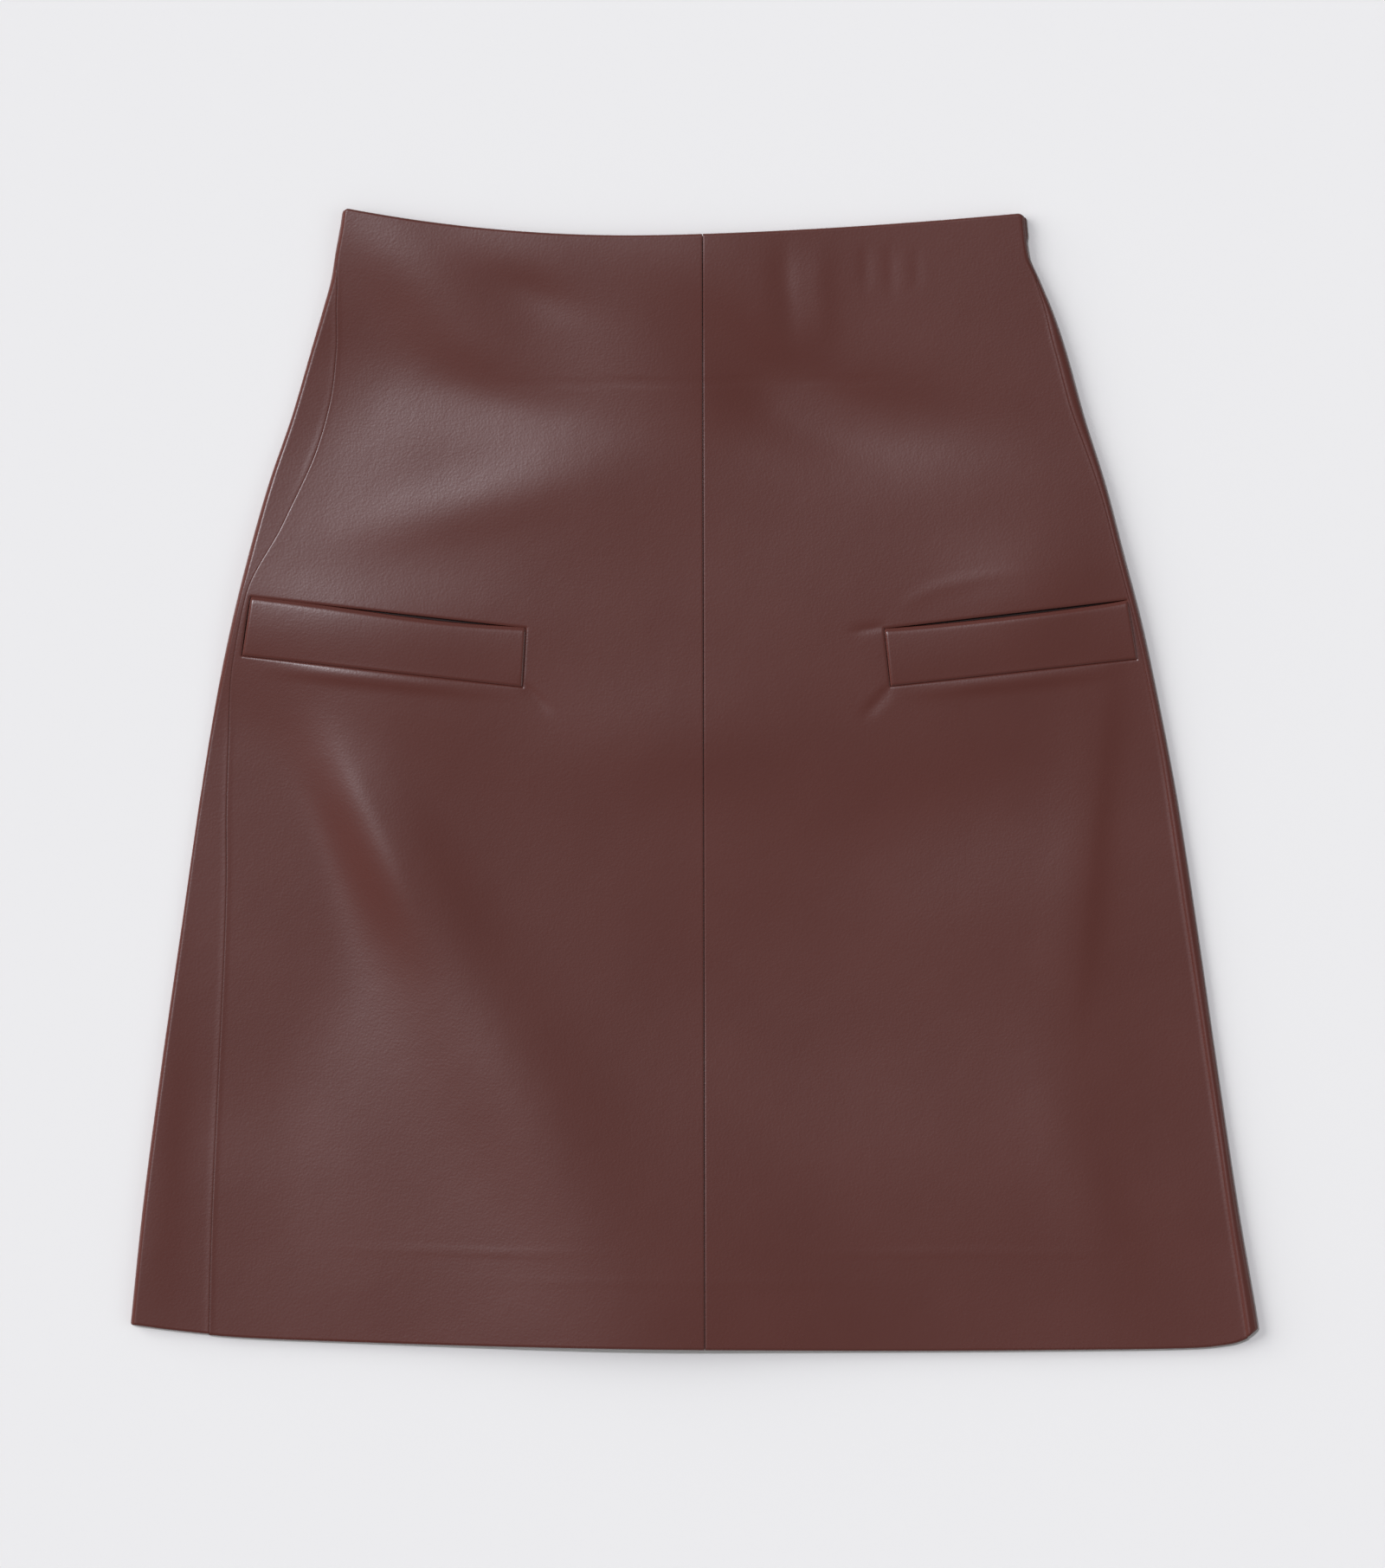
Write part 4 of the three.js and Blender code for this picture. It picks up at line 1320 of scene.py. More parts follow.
@dataclass
class Welt(Sheet):
    """The folded strip of a welt pocket, raised a little over its panel."""

    plan: WeltPlan
    form: LaidForm
    raise_height: float = 0.5
    swell: float = 0.25
    under: float = 1.0
    edge_gap: float = 0.12
    edge_round: float = 1.2
    edge_drop: float = 0.84
    top_round: float = 2.4
    top_drop: float = 0.45
    swell_power: float = 0.7
    step: float = 1.5

    @property
    def node(self) -> str:
        """The welt's CAD node."""
        return f"welt_{self.plan.side.value}"

    def build(self) -> bpy.types.Object:
        """Builds the strip.

        Returns:
            The strip's object.
        """
        plan, form = self.plan, self.form
        length = abs(plan.inner_top[0] - plan.outer_top[0])
        depth = plan.outer_top[1] - plan.outer_low[1]
        across = eased_steps(length, self.step, FINE, FINE)[:: -plan.side.sign]
        down = eased_steps(depth, self.step, FINE[1:], FINE)
        grid_across, grid_down = np.meshgrid(across, down)
        x, y = plan.place(grid_across, grid_down)
        y -= plan.mouth(grid_across) * (1 - grid_down)
        x += np.sign(x - (plan.outer_top[0] + plan.inner_top[0]) / 2) * -self.edge_gap
        mid = np.stack([x, y, form.front_mid(x, y)], axis=-1)
        swell = self.swell * np.sin(np.pi * grid_down) ** self.swell_power
        out = form.sizes.half + self.raise_height + swell
        ends = np.minimum(grid_across, 1 - grid_across) * length
        foot = (1 - grid_down) * depth
        out -= edge_dip(np.minimum(ends, foot), self.edge_round, self.edge_drop)
        out -= edge_dip(grid_down * depth, self.top_round, self.top_drop)
        into = np.full(out.shape, form.sizes.half + self.under)
        return self._make(self.node + "_leather", mid, out, into)


@dataclass
class ZipTape(Sheet):
    """One tape of the concealed zip, sewn along the inside of its back panel."""

    side: Side
    form: LaidForm
    near: float = 0.4
    wide: float = 12.0
    thick: float = 0.4
    stand: float = 0.08
    rows: int = 123
    columns: int = 9
    room_reach: float = 5.0
    room_fade: float = 13.0

    def build(self) -> bpy.types.Object:
        """Builds the tape.

        Returns:
            The tape's object.
        """
        form = self.form
        top = form.zip.tape_top(form)
        y = np.linspace(top, top - form.zip.length, self.rows)
        out = self.near + self.wide * np.linspace(0.0, 1.0, self.columns)
        across, up = np.meshgrid(out, y)
        room = form.zip.neck_room * np.exp(-(((up - form.zip_y) / self.room_reach) ** 2))
        across = across + room * (1 - across / self.room_fade)
        x = form.back_seam(up) + across * self.side.sign
        if self.side is Side.LEFT:
            x, up = x[:, ::-1], up[:, ::-1]
        mid = np.stack([x, up, form.inside(x, up) + self.stand + self.thick / 2], axis=-1)
        half = np.full(x.shape, self.thick / 2)
        return self._make(f"zip_tape_{self.side.value}", mid, half, half)


WireRow = tuple[bpy.types.Node, str | int, bpy.types.Node, str | int]


def wire(tree: bpy.types.NodeTree, *rows: WireRow) -> None:
    """Links nodes: each row is a node, its output, the next node and its input."""
    for start, output, end, into in rows:
        tree.links.new(start.outputs[output], end.inputs[into])


class RowOfParts:
    """Repeats a small part along a line with Geometry Nodes: a zip's coil or a row of stitches."""

    UNEVENNESS = 0.06
    SEED = 7

    def __init__(self) -> None:
        """Builds the node group: Spacing, Part, Finish, Unevenness and Seed in, and the parts out."""
        tree = bpy.data.node_groups.new("row_of_parts", "GeometryNodeTree")
        self.tree = tree
        inputs = {
            "Line": "Geometry",
            "Spacing": "Float",
            "Part": "Object",
            "Finish": "Material",
            "Unevenness": "Float",
            "Seed": "Int",
        }
        for name, kind in inputs.items():
            tree.interface.new_socket(name, in_out="INPUT", socket_type="NodeSocket" + kind)
        tree.interface.new_socket("Parts", in_out="OUTPUT", socket_type="NodeSocketGeometry")
        new = tree.nodes.new
        given, result = new("NodeGroupInput"), new("NodeGroupOutput")
        curve, points = new("GeometryNodeMeshToCurve"), new("GeometryNodeResampleCurve")
        part, place = new("GeometryNodeObjectInfo"), new("GeometryNodeInstanceOnPoints")
        tangent, turn = new("GeometryNodeInputTangent"), new("FunctionNodeAlignRotationToVector")
        vary, low, high = new("FunctionNodeRandomValue"), new("ShaderNodeMath"), new("ShaderNodeMath")
        real, finish = new("GeometryNodeRealizeInstances"), new("GeometryNodeSetMaterial")
        points.mode = "LENGTH"
        turn.axis = "Y"
        low.operation, high.operation = "SUBTRACT", "ADD"
        low.inputs[0].default_value = high.inputs[0].default_value = 1.0
        wire(
            tree,
            (given, "Line", curve, "Mesh"),
            (curve, "Curve", points, "Curve"),
            (given, "Spacing", points, "Length"),
            (points, "Curve", place, "Points"),
            (given, "Part", part, "Object"),
            (part, "Geometry", place, "Instance"),
            (tangent, "Tangent", turn, "Vector"),
            (turn, "Rotation", place, "Rotation"),
            (given, "Unevenness", low, 1),
            (given, "Unevenness", high, 1),
            (low, 0, vary, 2),
            (high, 0, vary, 3),
            (given, "Seed", vary, "Seed"),
            (vary, 1, place, "Scale"),
            (place, "Instances", real, "Geometry"),
            (real, "Geometry", finish, "Geometry"),
            (given, "Finish", finish, "Material"),
            (finish, "Geometry", result, "Parts"),
        )

    def make(
        self,
        name: str,
        line: np.ndarray,
        part: bpy.types.Object,
        spacing: float,
        finish: bpy.types.Material,
    ) -> bpy.types.Object:
        """Repeats the part along a line, and keeps the result as a plain mesh.

        Args:
            name: The piece's name.
            line: The line's points, in millimetres.
            part: The part, which is removed afterwards.
            spacing: The distance between parts, in millimetres.
            finish: Their material.

        Returns:
            The piece's object.
        """
        edges = [(k, k + 1) for k in range(len(line) - 1)]
        mesh = bpy.data.meshes.new(name)
        mesh.from_pydata((line * MM).tolist(), edges, [])
        obj = add_object(name, mesh)
        modifier = obj.modifiers.new("row", "NODES")
        modifier.node_group = self.tree
        values = {
            "Spacing": spacing * MM,
            "Part": part,
            "Finish": finish,
            "Unevenness": self.UNEVENNESS,
            "Seed": self.SEED,
        }
        for socket in self.tree.interface.items_tree:
            if socket.in_out == "INPUT" and socket.name in values:
                modifier[socket.identifier] = values[socket.name]
        graph = bpy.context.evaluated_depsgraph_get()
        plain = bpy.data.meshes.new_from_object(obj.evaluated_get(graph))
        obj.modifiers.clear()
        obj.data = plain
        obj.data.name = name
        bpy.data.meshes.remove(mesh)
        bpy.data.objects.remove(part)
        obj.data.shade_smooth()
        return obj


def bean(name: str, size: tuple[float, float, float], turns: int, rings: int = 6) -> bpy.types.Object:
    """Makes a small rounded bean, the part that a coil or a row of stitches repeats.

    Args:
        name: Its name.
        size: Its size along X, Y and Z, in millimetres.
        turns: Its sides.
        rings: Its rings from end to end.

    Returns:
        The bean's object.
    """
    made = bmesh.new()
    bmesh.ops.create_uvsphere(made, u_segments=turns, v_segments=rings, radius=0.5)
    bmesh.ops.scale(made, vec=Vector(size) * MM, verts=made.verts)
    mesh = bpy.data.meshes.new(name)
    made.to_mesh(mesh)
    made.free()
    return add_object(name, mesh)


@dataclass
class ZipMetalwork:
    """The slider inside the skirt and its pull tab outside, hinged on the slider's pin."""

    form: LaidForm
    pin_radius: float = 0.4
    pin_length: float = 4.4
    neck: tuple[float, float] = (1.0, 3.0)
    neck_low: float = 0.25
    body: tuple[float, float] = (5.0, 8.0)
    body_low: float = 4.95
    body_high: float = 5.4
    body_soft: float = 0.14
    foot_share: float = 0.76
    foot_corner: float = 0.7
    shoulder: tuple[float, float] = (0.9, 1.6)
    notch: float = 0.5
    sunk: float = 0.12
    flange_low: float = 4.16
    flange: float = 0.4
    flange_edge: float = 0.05
    flange_ends: tuple[float, float] = (1.7, 0.8)
    flange_soft: float = 0.1
    tab_length: float = 22.0
    tab_width: float = 5.0
    tab_shoulder: float = 1.0
    tab_straight: float = 2.0
    tab_start: float = 0.75
    tab_thick: float = 0.9
    tab_soft: float = 0.16
    eye_radius: float = 0.9
    eye_length: float = 3.0
    rim_soft: float = 0.08
    slot_width: float = 1.7
    slot_length: float = 3.4
    play: float = 0.15

    ROUND_STEPS = 24
    SOFT_STEPS = 3
    ROD_SIDES = 32
    MITRE = 0.6
    KEPT_CORNER = 40

    @property
    def pin(self) -> tuple[float, float, float]:
        """The middle of the hinge's pin."""
        return (self.form.sizes.centre_back_waist, self.form.zip_y, self.form.zip.axis_z)

    def slider(self) -> bpy.types.Object:
        """Builds the slider: its top plate, the flanges round the coil, its neck and the pin.

        Returns:
            The slider's object.
        """
        made = bmesh.new()
        wide, long = self.body[0] / 2, self.body[1] / 2
        foot = wide * self.foot_share
        half = [
            (foot - self.foot_corner, -long),
            (foot, self.foot_corner - long),
            (wide, long - self.shoulder[1]),
            (wide - self.shoulder[0], long),
            (self.notch, long - self.notch),
        ]
        plate = half + [(-a, b) for a, b in half[::-1]]
        self._plate(made, plate, self.body_low, self.body_high, self.body_soft)
        edge, deep = self.flange_edge, self.flange
        top, low = long - self.flange_ends[0], self.flange_ends[1] - long
        strip = [(wide - edge, top), (wide - deep, top), (foot - deep, low), (foot - edge, low)]
        high = self.body_low + self.sunk
        for side in (-1, 1):
            turned = [(side * a, b) for a, b in strip[::side]]
            self._plate(made, turned, self.flange_low, high, self.flange_soft)
        out, run = self.neck[0] / 2, self.neck[1] / 2
        neck = [(-out, -run), (out, -run), (out, run), (-out, run)]
        self._plate(made, neck, self.pin[2] - self.neck_low, high, self.flange_soft)
        self._rod(made, self.pin_radius, 0.0, -self.pin_length / 2, self.pin_length / 2)
        return self._finish(made, "zip_slider_metal")

    def pull_tab(self) -> bpy.types.Object:
        """Builds the pull tab: a tapered plate with a rounded end and two eyes on the pin.

        Returns:
            The pull tab's object.
        """
        made = bmesh.new()
        half, top = self.tab_width / 2, self.tab_width / 2 - self.tab_shoulder
        foot, end = half - self.tab_length, half - self.tab_length + self.tab_straight
        start, slot = -self.eye_radius * self.tab_start, self.slot_width / 2
        turn = np.linspace(math.pi, 2 * math.pi, self.ROUND_STEPS + 1)
        outline = [(-top, start), (-half, end)]
        outline += [(half * math.cos(a), foot + half * math.sin(a)) for a in turn]
        outline += [(half, end), (top, start), (slot, start)]
        outline += [(slot * math.cos(a), slot - self.slot_length + slot * math.sin(a)) for a in turn[::-2]]
        outline += [(-slot, start)]
        z, thick = self.pin[2], self.tab_thick / 2
        self._plate(made, outline, z - thick, z + thick, self.tab_soft)
        hole = self.pin_radius + self.play
        for low, high in ((-self.eye_length / 2, -slot), (slot, self.eye_length / 2)):
            self._rod(made, self.eye_radius, hole, low, high)
        return self._finish(made, "zip_pull_tab_metal")

    def _plate(
        self,
        made: bmesh.types.BMesh,
        outline: list[tuple[float, float]],
        low: float,
        high: float,
        soft: float,
    ) -> None:
        """Adds a plate with softened edges from its outline round the pin, going round it to the left.

        Args:
            made: The mesh that it is added to.
            outline: The outline's points, measured from the pin.
            low: The height of its lower face.
            high: The height of its upper face.
            soft: How far its edges are rounded off.
        """
        at = np.array(outline) + self.pin[:2]
        ahead, behind = np.roll(at, -1, axis=0) - at, at - np.roll(at, 1, axis=0)
        ahead /= np.linalg.norm(ahead, axis=1, keepdims=True)
        behind /= np.linalg.norm(behind, axis=1, keepdims=True)
        inward = np.stack([-(ahead + behind)[:, 1], (ahead + behind)[:, 0]], axis=1)
        inward /= np.maximum((inward**2).sum(axis=1, keepdims=True) / 2, self.MITRE)
        turns = np.linspace(0.0, math.pi / 2, self.SOFT_STEPS + 1)
        levels = [(low + soft * (1 - math.sin(a)), 1 - math.cos(a)) for a in turns[::-1]]
        levels += [(high - soft * (1 - math.sin(a)), 1 - math.cos(a)) for a in turns]
        rings = []
        for height, inset in levels:
            edge = at + inward * soft * inset
            rings.append([made.verts.new((float(a), float(b), height)) for a, b in edge])
        self._skin(made, rings)
        made.faces.new(rings[0][::-1])
        made.faces.new(rings[-1])

    def _rod(self, made: bmesh.types.BMesh, radius: float, hole: float, low: float, high: float) -> None:
        """Adds a rod or a ring round the pin's line, with softened rims.

        Args:
            made: The mesh that it is added to.
            radius: The rod's radius.
            hole: The radius of the hole through it, or 0.
            low: Where it starts, from the pin's middle.
            high: Where it ends.
        """
        x, y, z = self.pin
        soft = self.rim_soft
        path = [(low, radius - soft), (low + soft, radius), (high - soft, radius), (high, radius - soft)]
        if hole:
            path += [(high, hole + soft), (high - soft, hole), (low + soft, hole), (low, hole + soft)]
        turns = np.linspace(0, 2 * math.pi, self.ROD_SIDES, endpoint=False)
        rings = [
            [made.verts.new((x + a, y + r * math.cos(t), z + r * math.sin(t))) for t in turns]
            for a, r in path
        ]
        self._skin(made, rings + rings[:1] if hole else rings)
        if not hole:
            made.faces.new(rings[0])
            made.faces.new(rings[-1][::-1])

    @staticmethod
    def _skin(made: bmesh.types.BMesh, rings: list[list[bmesh.types.BMVert]]) -> None:
        """Adds the faces between each ring of points and the next.

        Args:
            made: The mesh that they are added to.
            rings: The rings, each with the same number of points.
        """
        for a, b in zip(rings[:-1], rings[1:], strict=True):
            for k in range(len(a)):
                n = (k + 1) % len(a)
                made.faces.new((a[k], a[n], b[n], b[k]))

    def _finish(self, made: bmesh.types.BMesh, name: str) -> bpy.types.Object:
        """Makes the object of a metal part, with its faces smooth and its corners kept.

        Args:
            made: The part's mesh, which is freed.
            name: Its name.

        Returns:
            The part's object.
        """
        bmesh.ops.recalc_face_normals(made, faces=made.faces)
        bmesh.ops.triangulate(made, faces=[f for f in made.faces if len(f.verts) > 4])
        bmesh.ops.scale(made, vec=(MM, MM, MM), verts=made.verts)
        mesh = bpy.data.meshes.new(name)
        made.to_mesh(mesh)
        made.free()
        mesh.shade_smooth()
        mesh.set_sharp_from_angle(angle=math.radians(self.KEPT_CORNER))
        return add_object(name, mesh)


@dataclass
class PocketFacing(Sheet):
    """The strip of leather that is seen inside a pocket's mouth."""

    plan: WeltPlan
    form: LaidForm
    drop: float = 0.3
    welt_under: float = 1.0
    wall: float = 1.0
    outer: float = 0.04
    inner: float = 0.97
    above: float = 7.0
    below: float = 11.0
    step: float = 3.0

    @property
    def node(self) -> str:
        """The facing's CAD node."""
        return f"pocket_facing_{self.plan.side.value}"

    def build(self) -> bpy.types.Object:
        """Builds the strip.

        Returns:
            The strip's object.
        """
        plan, form = self.plan, self.form
        length = abs(plan.inner_top[0] - plan.outer_top[0])
        share = eased_steps(length, self.step, FINE, FINE)[:: -plan.side.sign]
        across = self.outer + (self.inner - self.outer) * share
        down = eased_steps(self.above + self.below, self.step, FINE, FINE)
        grid_across, grid_down = np.meshgrid(across, down)
        x, y = plan.place(grid_across, np.zeros_like(grid_across))
        y = y + self.above - (self.above + self.below) * grid_down
        under = form.sizes.half + self.welt_under + self.drop + self.wall / 2
        mid = np.stack([x, y, form.front_mid(x, y) - under], axis=-1)
        half = np.full(x.shape, self.wall / 2)
        return self._make(self.node + "_leather", mid, half, half)


class SurfaceGrain:
    """The node group for fine uneven grain, shared by the leathers, the tapes and the metal."""

    RELIEF = 0.0001
    SPECKLE_SHARE = 0.5

    def __init__(self) -> None:
        """Builds the group: its scales and depths in, and Tone, Polish and Normal out."""
        tree = bpy.data.node_groups.new("surface_grain", "ShaderNodeTree")
        self.tree = tree
        inputs = {"Scale": 900.0, "Depth": 0.1, "Cloud": 14.0, "Ripple Scale": 70.0, "Ripple": 0.3}
        for name, value in inputs.items():
            socket = tree.interface.new_socket(name, in_out="INPUT", socket_type="NodeSocketFloat")
            socket.default_value = value
        for name in ("Tone", "Polish"):
            tree.interface.new_socket(name, in_out="OUTPUT", socket_type="NodeSocketFloat")
        tree.interface.new_socket("Normal", in_out="OUTPUT", socket_type="NodeSocketVector")
        new = tree.nodes.new
        given, result, coords = new("NodeGroupInput"), new("NodeGroupOutput"), new("ShaderNodeTexCoord")
        speckle, cloud, waves = (new("ShaderNodeTexNoise") for _ in range(3))
        cells, pores, both = new("ShaderNodeTexVoronoi"), new("ShaderNodeMath"), new("ShaderNodeMath")
        bump, swell = new("ShaderNodeBump"), new("ShaderNodeBump")
        cells.feature = "SMOOTH_F1"
        for texture, detail in ((speckle, 2.0), (cloud, 4.0), (waves, 3.0)):
            texture.inputs["Detail"].default_value = detail
        for texture in (cells, speckle, cloud, waves):
            wire(tree, (coords, "Object", texture, "Vector"))
        for relief in (bump, swell):
            relief.inputs["Distance"].default_value = self.RELIEF
        pores.operation, both.operation = "ADD", "MULTIPLY_ADD"
        both.inputs[1].default_value = self.SPECKLE_SHARE
        wire(
            tree,
            (given, "Ripple Scale", waves, "Scale"),
            (given, "Ripple", swell, "Strength"),
            (waves, "Fac", swell, "Height"),
            (swell, "Normal", bump, "Normal"),
            (given, "Scale", cells, "Scale"),
            (given, "Scale", speckle, "Scale"),
            (given, "Cloud", cloud, "Scale"),
            (cells, "Distance", pores, 0),
            (speckle, "Fac", pores, 1),
            (given, "Depth", bump, "Strength"),
            (pores, 0, bump, "Height"),
            (speckle, "Fac", both, 0),
            (cloud, "Fac", both, 2),
            (cloud, "Fac", result, "Tone"),
            (both, 0, result, "Polish"),
            (bump, "Normal", result, "Normal"),
        )


@dataclass(frozen=True)
class Finish:
    """A surface: its colour and how far it varies, its polish, and its grain."""

    name: str
    base: tuple[float, float, float]
    roughness: float
    colour_vary: float = 0.08
    polish_vary: float = 0.05
    metallic: float = 0.0
    specular: float = 0.5
    grain_scale: float = 900.0
    grain: float = 0.1
    cloud_scale: float = 14.0
    ripple_scale: float = 70.0
    ripple: float = 0.0

    POLISH_MEAN = 0.75

    def material(self, grain: SurfaceGrain) -> bpy.types.Material:
        """Builds the material.

        Args:
            grain: The shared grain group.

        Returns:
            The material.
        """
        mat = bpy.data.materials.new(self.name)
        mat.use_nodes = True
        tree, nodes = mat.node_tree, mat.node_tree.nodes
        shader = nodes["Principled BSDF"]
        shader.inputs["Metallic"].default_value = self.metallic
        shader.inputs["Specular IOR Level"].default_value = self.specular
        surface = nodes.new("ShaderNodeGroup")
        surface.node_tree = grain.tree
        values = {
            "Scale": self.grain_scale,
            "Depth": self.grain,
            "Cloud": self.cloud_scale,
            "Ripple Scale": self.ripple_scale,
            "Ripple": self.ripple,
        }
        for name, value in values.items():
            surface.inputs[name].default_value = value
        colour = nodes.new("ShaderNodeMix")
        colour.data_type = "RGBA"
        for name, share in (("A", 1.0 - self.colour_vary), ("B", 1.0 + self.colour_vary)):
            colour.inputs[name].default_value = (*(c * share for c in self.base), 1.0)
        polish = nodes.new("ShaderNodeMath")
        polish.operation = "MULTIPLY_ADD"
        polish.inputs[1].default_value = self.polish_vary
        polish.inputs[2].default_value = self.roughness - self.polish_vary * self.POLISH_MEAN
        wire(
            tree,
            (surface, "Tone", colour, "Factor"),
            (colour, "Result", shader, "Base Color"),
            (surface, "Polish", polish, 0),
            (polish, 0, shader, "Roughness"),
            (surface, "Normal", shader, "Normal"),
        )
        return mat


LEATHER = Finish("skirt_leather", (0.085, 0.0218, 0.0162), 0.27, grain=0.16, ripple=0.45)
# Painted shade: the pocket facings are the skirt's own leather, coloured far darker to stand for the shade
# inside the pocket mouths.
SHADE_PAINTED_FACING = Finish("facing_leather", (0.022, 0.009, 0.008), 0.5, specular=0.2)
TAPE = Finish("zip_tape_cloth", (0.05, 0.018, 0.015), 0.85, specular=0.2, grain_scale=2200.0, grain=0.5)
THREAD = Finish("zip_thread", (0.06, 0.022, 0.018), 0.6, grain_scale=2600.0, grain=0.3)
COIL = Finish("zip_coil", (0.045, 0.017, 0.014), 0.35, grain_scale=1500.0, grain=0.05)
METAL = Finish("zip_metal", (0.11, 0.068, 0.06), 0.34, metallic=0.85, grain_scale=1800.0, grain=0.04)


@dataclass(frozen=True)
class Lamp:
    """A far, broad light: the way it shines, its power, its width in degrees and its colour."""

    name: str
    towards: tuple[float, float, float]
    power: float
    width: float
    colour: tuple[float, float, float] = (1.0, 1.0, 1.0)
    mirrored: bool = True


LAMPS = (
    Lamp("window", (0.85, -0.3, -0.27), 4.1, 56, mirrored=False),
    Lamp("edge", (-0.84, 0.1, -0.53), 0.28, 34),
    Lamp("overhead", (0.236, -0.218, -0.947), 1.14, 4, (1.0, 0.99, 1.06)),
)


@dataclass
class Studio:
    """The table, the light and the camera over the laid skirt."""

    pixel: float = 0.43
    photo_height: int = 1811
    middle: tuple[float, float] = (-0.86, -1.5)
    focus: float = 5.0
    lens: float = 300.0
    sensor: float = 36.0
    floor_half: float = 4.0
    floor_low: float = -0.02
    floor_tone: float = 0.8
    floor_rough: float = 0.9
    tent: tuple[float, float] = (0.48, 0.19)
    tent_top: float = 0.9

    def camera(self) -> None:
        """Looks straight down on the skirt, with the waist at the top."""
        data = bpy.data.cameras.new("camera")
        data.lens = self.lens
        data.sensor_width = self.sensor
        height = self.photo_height * self.pixel * self.lens / self.sensor
        camera = add_object("camera", data)
        camera.location = (self.middle[0] * MM, self.middle[1] * MM, (height + self.focus) * MM)
        bpy.context.scene.camera = camera

    def table(self) -> None:
        """Lays a wide pale floor under the skirt."""
        mesh = bpy.data.meshes.new("floor")
        half, low = self.floor_half, self.floor_low * MM
        corners = [(-half, -half, low), (half, -half, low), (half, half, low), (-half, half, low)]
        mesh.from_pydata(corners, [], [(0, 1, 2, 3)])
        floor = add_object("floor", mesh)
        mat = bpy.data.materials.new("pale_table")
        mat.use_nodes = True
        shader = mat.node_tree.nodes["Principled BSDF"]
        shader.inputs["Base Color"].default_value = (*(3 * [self.floor_tone]), 1)
        shader.inputs["Roughness"].default_value = self.floor_rough
        shader.inputs["Specular IOR Level"].default_value = 0.0
        floor.data.materials.append(mat)

    def light(self) -> None:
        """Lights it with a soft tent, paler low down than overhead, and with the lamps."""
        world = bpy.data.worlds.new("studio")
        bpy.context.scene.world = world
        world.use_nodes = True
        nodes = world.node_tree.nodes
        nodes["Background"].inputs["Color"].default_value = (1, 1, 1, 1)
        coords, parts = nodes.new("ShaderNodeTexCoord"), nodes.new("ShaderNodeSeparateXYZ")
        fade = nodes.new("ShaderNodeMapRange")
        fade.inputs["From Max"].default_value = self.tent_top
        fade.inputs["To Min"].default_value, fade.inputs["To Max"].default_value = self.tent
        wire(
            world.node_tree,
            (coords, "Generated", parts, "Vector"),
            (parts, "Z", fade, "Value"),
            (fade, "Result", nodes["Background"], "Strength"),
        )
        for lamp in LAMPS:
            data = bpy.data.lights.new(lamp.name, "SUN")
            data.energy = lamp.power
            data.angle = math.radians(lamp.width)
            data.color = lamp.colour
            obj = add_object(lamp.name, data)
            obj.rotation_euler = Vector(lamp.towards).to_track_quat("-Z", "Y").to_euler()
            obj.visible_glossy = lamp.mirrored
        bpy.context.scene.view_settings.view_transform = "Standard"


def dress(
    obj: bpy.types.Object,
    material: bpy.types.Material,
    node: str | None = None,
    body: str = "skirt",
) -> None:
    """Args:
        obj: The piece.
        material: Its material.
        node: The CAD node that it stands for.
        body: The body that it moves with.
    """
    obj.data.materials.clear()
    obj.data.materials.append(material)
    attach(obj, body)
    if node:
        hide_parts(node)
    log.info("%s: %d faces", obj.name, len(obj.data.polygons))


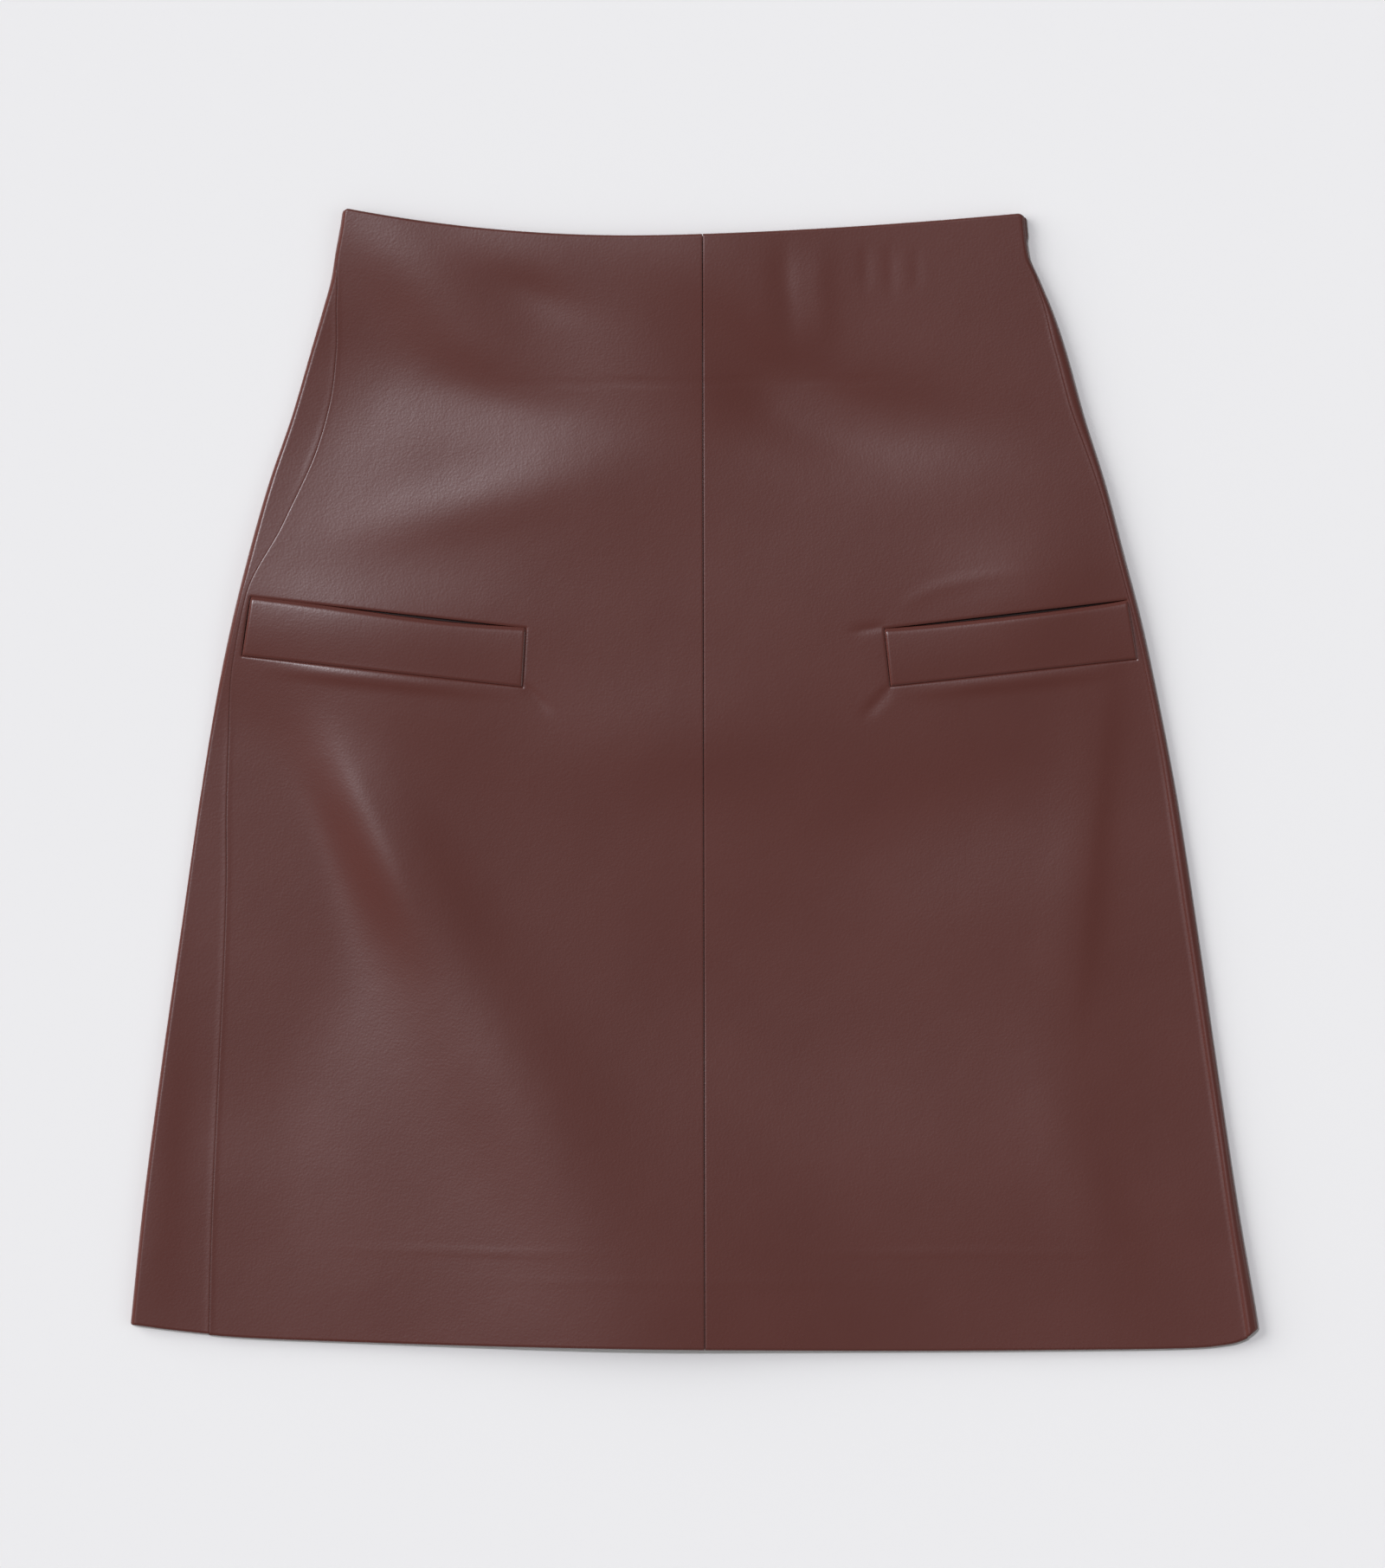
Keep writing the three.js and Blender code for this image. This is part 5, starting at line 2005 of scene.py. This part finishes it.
@dataclass
class ZipRows:
    """The coil and the stitches that run along a tape of the concealed zip."""

    tape: ZipTape
    start: float = 2.0
    end: float = 3.0
    step: float = 0.4
    coil_out: float = 0.48
    coil_spread: float = 0.75
    spread_low: float = 7.0
    spread_run: float = 6.0
    coil_high: float = 0.42
    coil_shift: float = 0.2
    coil_part: tuple[float, float, float] = (1.15, 0.5, 0.84)
    coil_sides: int = 10
    coil_spacing: float = 0.8
    stitch_out: float = 7.6
    stitch_part: tuple[float, float, float] = (0.32, 2.1, 0.24)
    stitch_sides: int = 8
    stitch_spacing: float = 3.0

    def _line(self, y: np.ndarray, out: np.ndarray | float, high: float) -> np.ndarray:
        """Gives a line of points along the tape, out from the seam and high over the tape.

        Args:
            y: Heights along the seam.
            out: How far out from the seam the line runs.
            high: How high over the tape.

        Returns:
            The line's points.
        """
        form, tape = self.tape.form, self.tape
        x = form.back_seam(y) + tape.side.sign * out
        return np.stack([x, y, form.inside(x, y) + tape.stand + tape.thick + high], axis=1)

    def build(self, rows: RowOfParts, coil: bpy.types.Material, thread: bpy.types.Material) -> None:
        """Builds and dresses both rows.

        Args:
            rows: The shared node group that repeats a part.
            coil: The coil's material.
            thread: The stitches' material.
        """
        form, side = self.tape.form, self.tape.side
        top = form.zip.tape_top(form)
        y = np.arange(top - self.start, top - form.zip.length + self.end, -self.step)
        spread = self.coil_spread * smooth((y - form.zip_y + self.spread_low) / self.spread_run)
        line = self._line(y, self.coil_out + spread, self.coil_high) + (0, self.coil_shift * side.sign, 0)
        part = bean("coil_part", self.coil_part, self.coil_sides)
        dress(rows.make(f"zip_coil_{side.value}", line, part, self.coil_spacing, coil), coil)
        part = bean("stitch_part", self.stitch_part, self.stitch_sides)
        line = self._line(y, self.stitch_out, 0.0)
        stitches = rows.make(f"zip_stitches_{side.value}", line, part, self.stitch_spacing, thread)
        dress(stitches, thread)


def dress_zip(form: LaidForm, grain: SurfaceGrain) -> None:
    """Builds the concealed zip on the inside of the centre back seam, and its pull tab outside.

    Args:
        form: The laid form.
        grain: The shared grain group.
    """
    rows = RowOfParts()
    tape_cloth, thread = TAPE.material(grain), THREAD.material(grain)
    coil, metal = COIL.material(grain), METAL.material(grain)
    for side in Side:
        tape = ZipTape(side, form)
        dress(tape.build(), tape_cloth, None)
        ZipRows(tape).build(rows, coil, thread)
    metalwork = ZipMetalwork(form)
    dress(metalwork.slider(), metal, "zip_slider")
    dress(metalwork.pull_tab(), metal, "zip_pull_tab", body="pull_tab")


def main() -> None:
    """Builds the skirt and its studio."""
    logging.basicConfig(level=logging.INFO, format="%(message)s")
    studio = Studio()
    studio.camera()
    studio.table()
    studio.light()
    form = LaidForm(Sizes(), Zip())
    grain = SurfaceGrain()
    # The facings get the darker leather, which is painted shade for the inside of the pocket mouths.
    leather, facing = LEATHER.material(grain), SHADE_PAINTED_FACING.material(grain)
    for side in Side:
        front = FrontPanel(side, form, WELTS[side])
        back = BackPanel(side, form)
        welt = Welt(WELTS[side], form)
        strip = PocketFacing(WELTS[side], form)
        dress(front.build(), leather, front.node)
        dress(back.build(), leather, back.node)
        dress(welt.build(), leather, welt.node)
        dress(strip.build(), facing, strip.node)
    dress_zip(form, grain)


if __name__ == "__main__":
    main()
